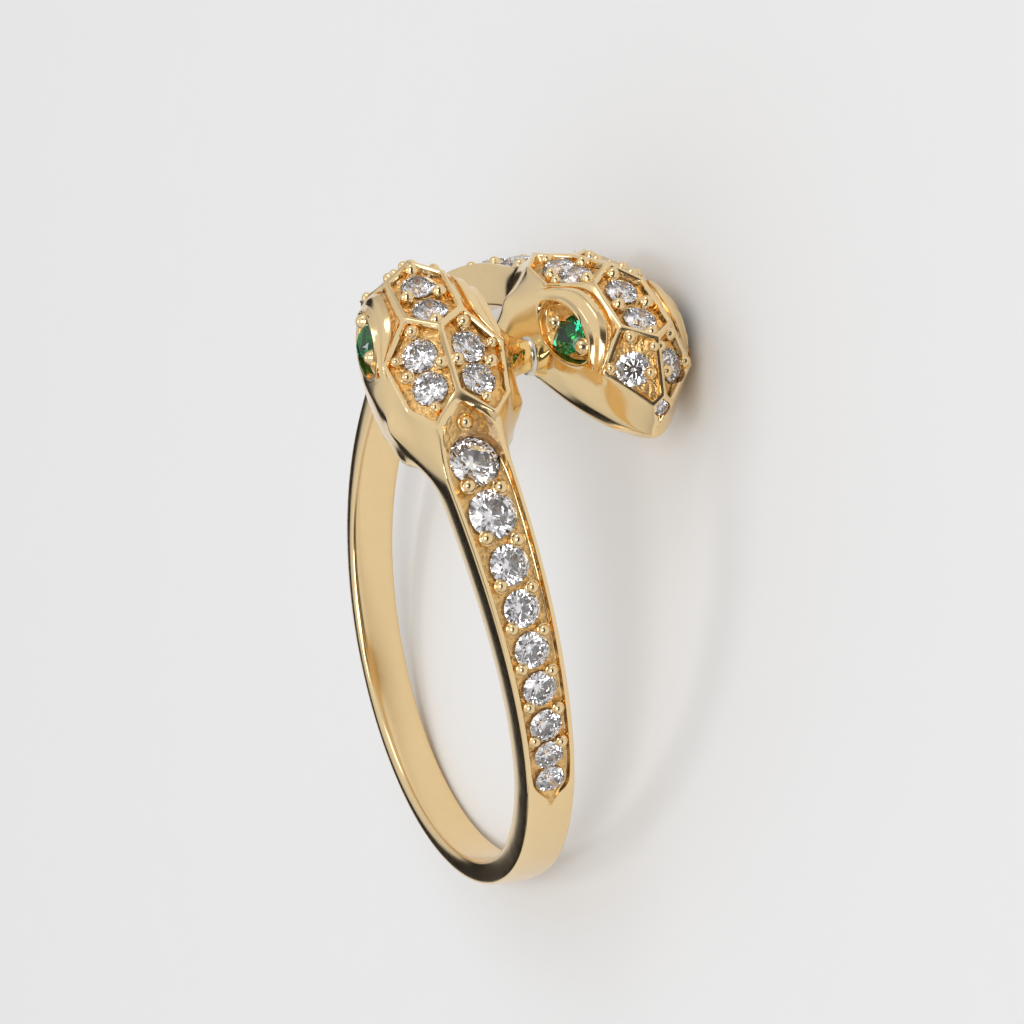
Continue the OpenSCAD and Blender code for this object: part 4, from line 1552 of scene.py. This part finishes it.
@dataclass
class Studio:
    """Floor, lights, world and camera."""

    pose: RestPose
    finishes: Finishes
    azimuth: float = 29.564
    elevation: float = 41.224
    roll: float = 13.407
    distance: float = 86.435
    offset: tuple[float, float] = (1.546, 2.251)
    focal_px: float = 2797.465
    image_px: int = 1024
    sensor: float = 36.0
    floor_r: float = 3.0
    floor_sides: int = 64

    def floor(self) -> bpy.types.Object:
        """Lay the floor.

        Returns:
            The floor.
        """
        n = self.floor_sides
        me = bpy.data.meshes.new("floor")
        pts = [(0.0, 0.0, 0.0)] + [tuple(p) for p in circle(self.floor_r, n, 0.0)]
        me.from_pydata(pts, [], [(0, i + 1, (i + 1) % n + 1) for i in range(n)])
        obj = new_object("floor", me, self.finishes.paper)
        return obj

    def axes(self) -> np.ndarray:
        """Work out the camera's axes.

        Returns:
            Right, up and back, as rows, in the ring's upright frame.
        """
        az, el, roll = self.azimuth, self.elevation, self.roll
        back = np.array([-sin_deg(az) * cos_deg(el), -cos_deg(az) * cos_deg(el), sin_deg(el)])
        right = np.array([cos_deg(az), -sin_deg(az), 0.0])
        up = np.cross(back, right)
        c, s = cos_deg(roll), sin_deg(roll)
        return np.array([c * right + s * up, -s * right + c * up, back])

    def camera(self) -> bpy.types.Object:
        """Set the camera at the photo's angle to the ring.

        Returns:
            The camera.
        """
        axes = self.axes()
        data = bpy.data.cameras.new("camera")
        data.sensor_width, data.lens = self.sensor, self.focal_px / self.image_px * self.sensor
        data.clip_start, data.clip_end = 0.005, 20
        cam = new_object("camera", data)
        m = np.eye(4)
        m[:3, :3] = self.pose.turn @ axes.T
        m[:3, 3] = self.pose.to_row(axes.T @ np.array([*self.offset, self.distance]))
        cam.matrix_world = Matrix(m.tolist())
        bpy.context.scene.camera = cam
        return cam

    def lamp(self, name: str, where: tuple[float, float, float], size: float, power: float) -> None:
        """Hang a soft square lamp that looks at the ring.

        Args:
            name: The lamp's name.
            where: Its place in metres.
            size: Its side in metres.
            power: Its power in watts.
        """
        data = bpy.data.lights.new(name, "AREA")
        data.shape, data.size, data.energy = "SQUARE", size, power
        obj = new_object(name, data)
        obj.location = where
        obj.rotation_euler = (Vector(LAMP_AIM) - Vector(where)).to_track_quat("-Z", "Y").to_euler()

    def world(self) -> None:
        """Give the world soft light with darker zones, which the gold and stones mirror."""
        world = bpy.data.worlds.new("studio")
        bpy.context.scene.world = world
        world.use_nodes = True
        wire, back = Wiring(world.node_tree), world.node_tree.nodes["Background"]
        where = wire.add("ShaderNodeTexCoord").outputs["Generated"]
        height = wire.add("ShaderNodeSeparateXYZ", links={0: where}).outputs["Z"]
        sky = wire.ramp(height, *SKY)
        # A dark zone low over the floor, towards which the shank's side wall looks
        around = wire.facing(where, (0.545, 0.839, 0.0), 0.72, 0.88)
        low = wire.fade(height, 0.30, 0.19)
        dark = wire.add("ShaderNodeMath", links={0: around, 1: low}, operation="MULTIPLY").outputs[0]
        sky = wire.mix(dark, sky, (0.015, 0.015, 0.017))
        # The darker side of the room, towards which the stones throw their light back
        shade = wire.facing(where, (-0.668, -0.566, 0.483), 0.72, 0.92)
        sky = wire.mix(shade, sky, (0.10, 0.09, 0.085))
        wire.tree.links.new(sky, back.inputs["Color"])
        back.inputs["Strength"].default_value = 0.8

    def build(self) -> None:
        """Build the studio and set how the picture is taken."""
        self.floor()
        self.camera()
        self.world()
        for lamp in LAMPS:
            self.lamp(*lamp)
        scene = bpy.context.scene
        scene.view_settings.view_transform = "Standard"
        scene.cycles.max_bounces = 14
        scene.cycles.transmission_bounces = 12
        scene.cycles.glossy_bounces = 6
        scene.cycles.use_denoising = True
        scene.cycles.sample_clamp_indirect = 6.0


def plain(bounds: object) -> list[list[float]]:
    """Turn a box, its lowest and highest corners, into plain lists of numbers."""
    return [[float(v) for v in corner] for corner in bounds]


def dress_stones(nodes: dict[str, bpy.types.Object], finishes: Finishes) -> None:
    """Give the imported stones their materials.

    Args:
        nodes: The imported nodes.
        finishes: The finishes.
    """
    for name, obj in nodes.items():
        if name == "gold_body":
            continue
        mat = finishes.green if name.endswith("eye") else finishes.white
        if not obj.material_slots:
            obj.data.materials.append(mat)
        for slot in obj.material_slots:
            slot.material = mat


def main() -> None:
    """Build the ring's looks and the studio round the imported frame."""
    logging.basicConfig(level=logging.INFO, format="%(message)s")
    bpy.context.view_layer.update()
    sizes = RingSizes()
    snakes = (Snake(sizes, LEFT_POSE, False), Snake(sizes, RIGHT_POSE, True))
    pose = RestPose(snakes)
    finishes = Finishes()
    pieces = [GoldBody(snakes, pose, finishes).build(), ProngBeads(snakes, pose, finishes).build()]
    pieces += SolderLink(snakes, pose, finishes).build()
    for piece in pieces:
        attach(piece, "root")
        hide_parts("gold_body")
        LOG.info("%s: %d polygons", piece.name, len(piece.data.polygons))
    dress_stones(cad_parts, finishes)
    Studio(pose, finishes).build()


if __name__ == "__main__":
    main()
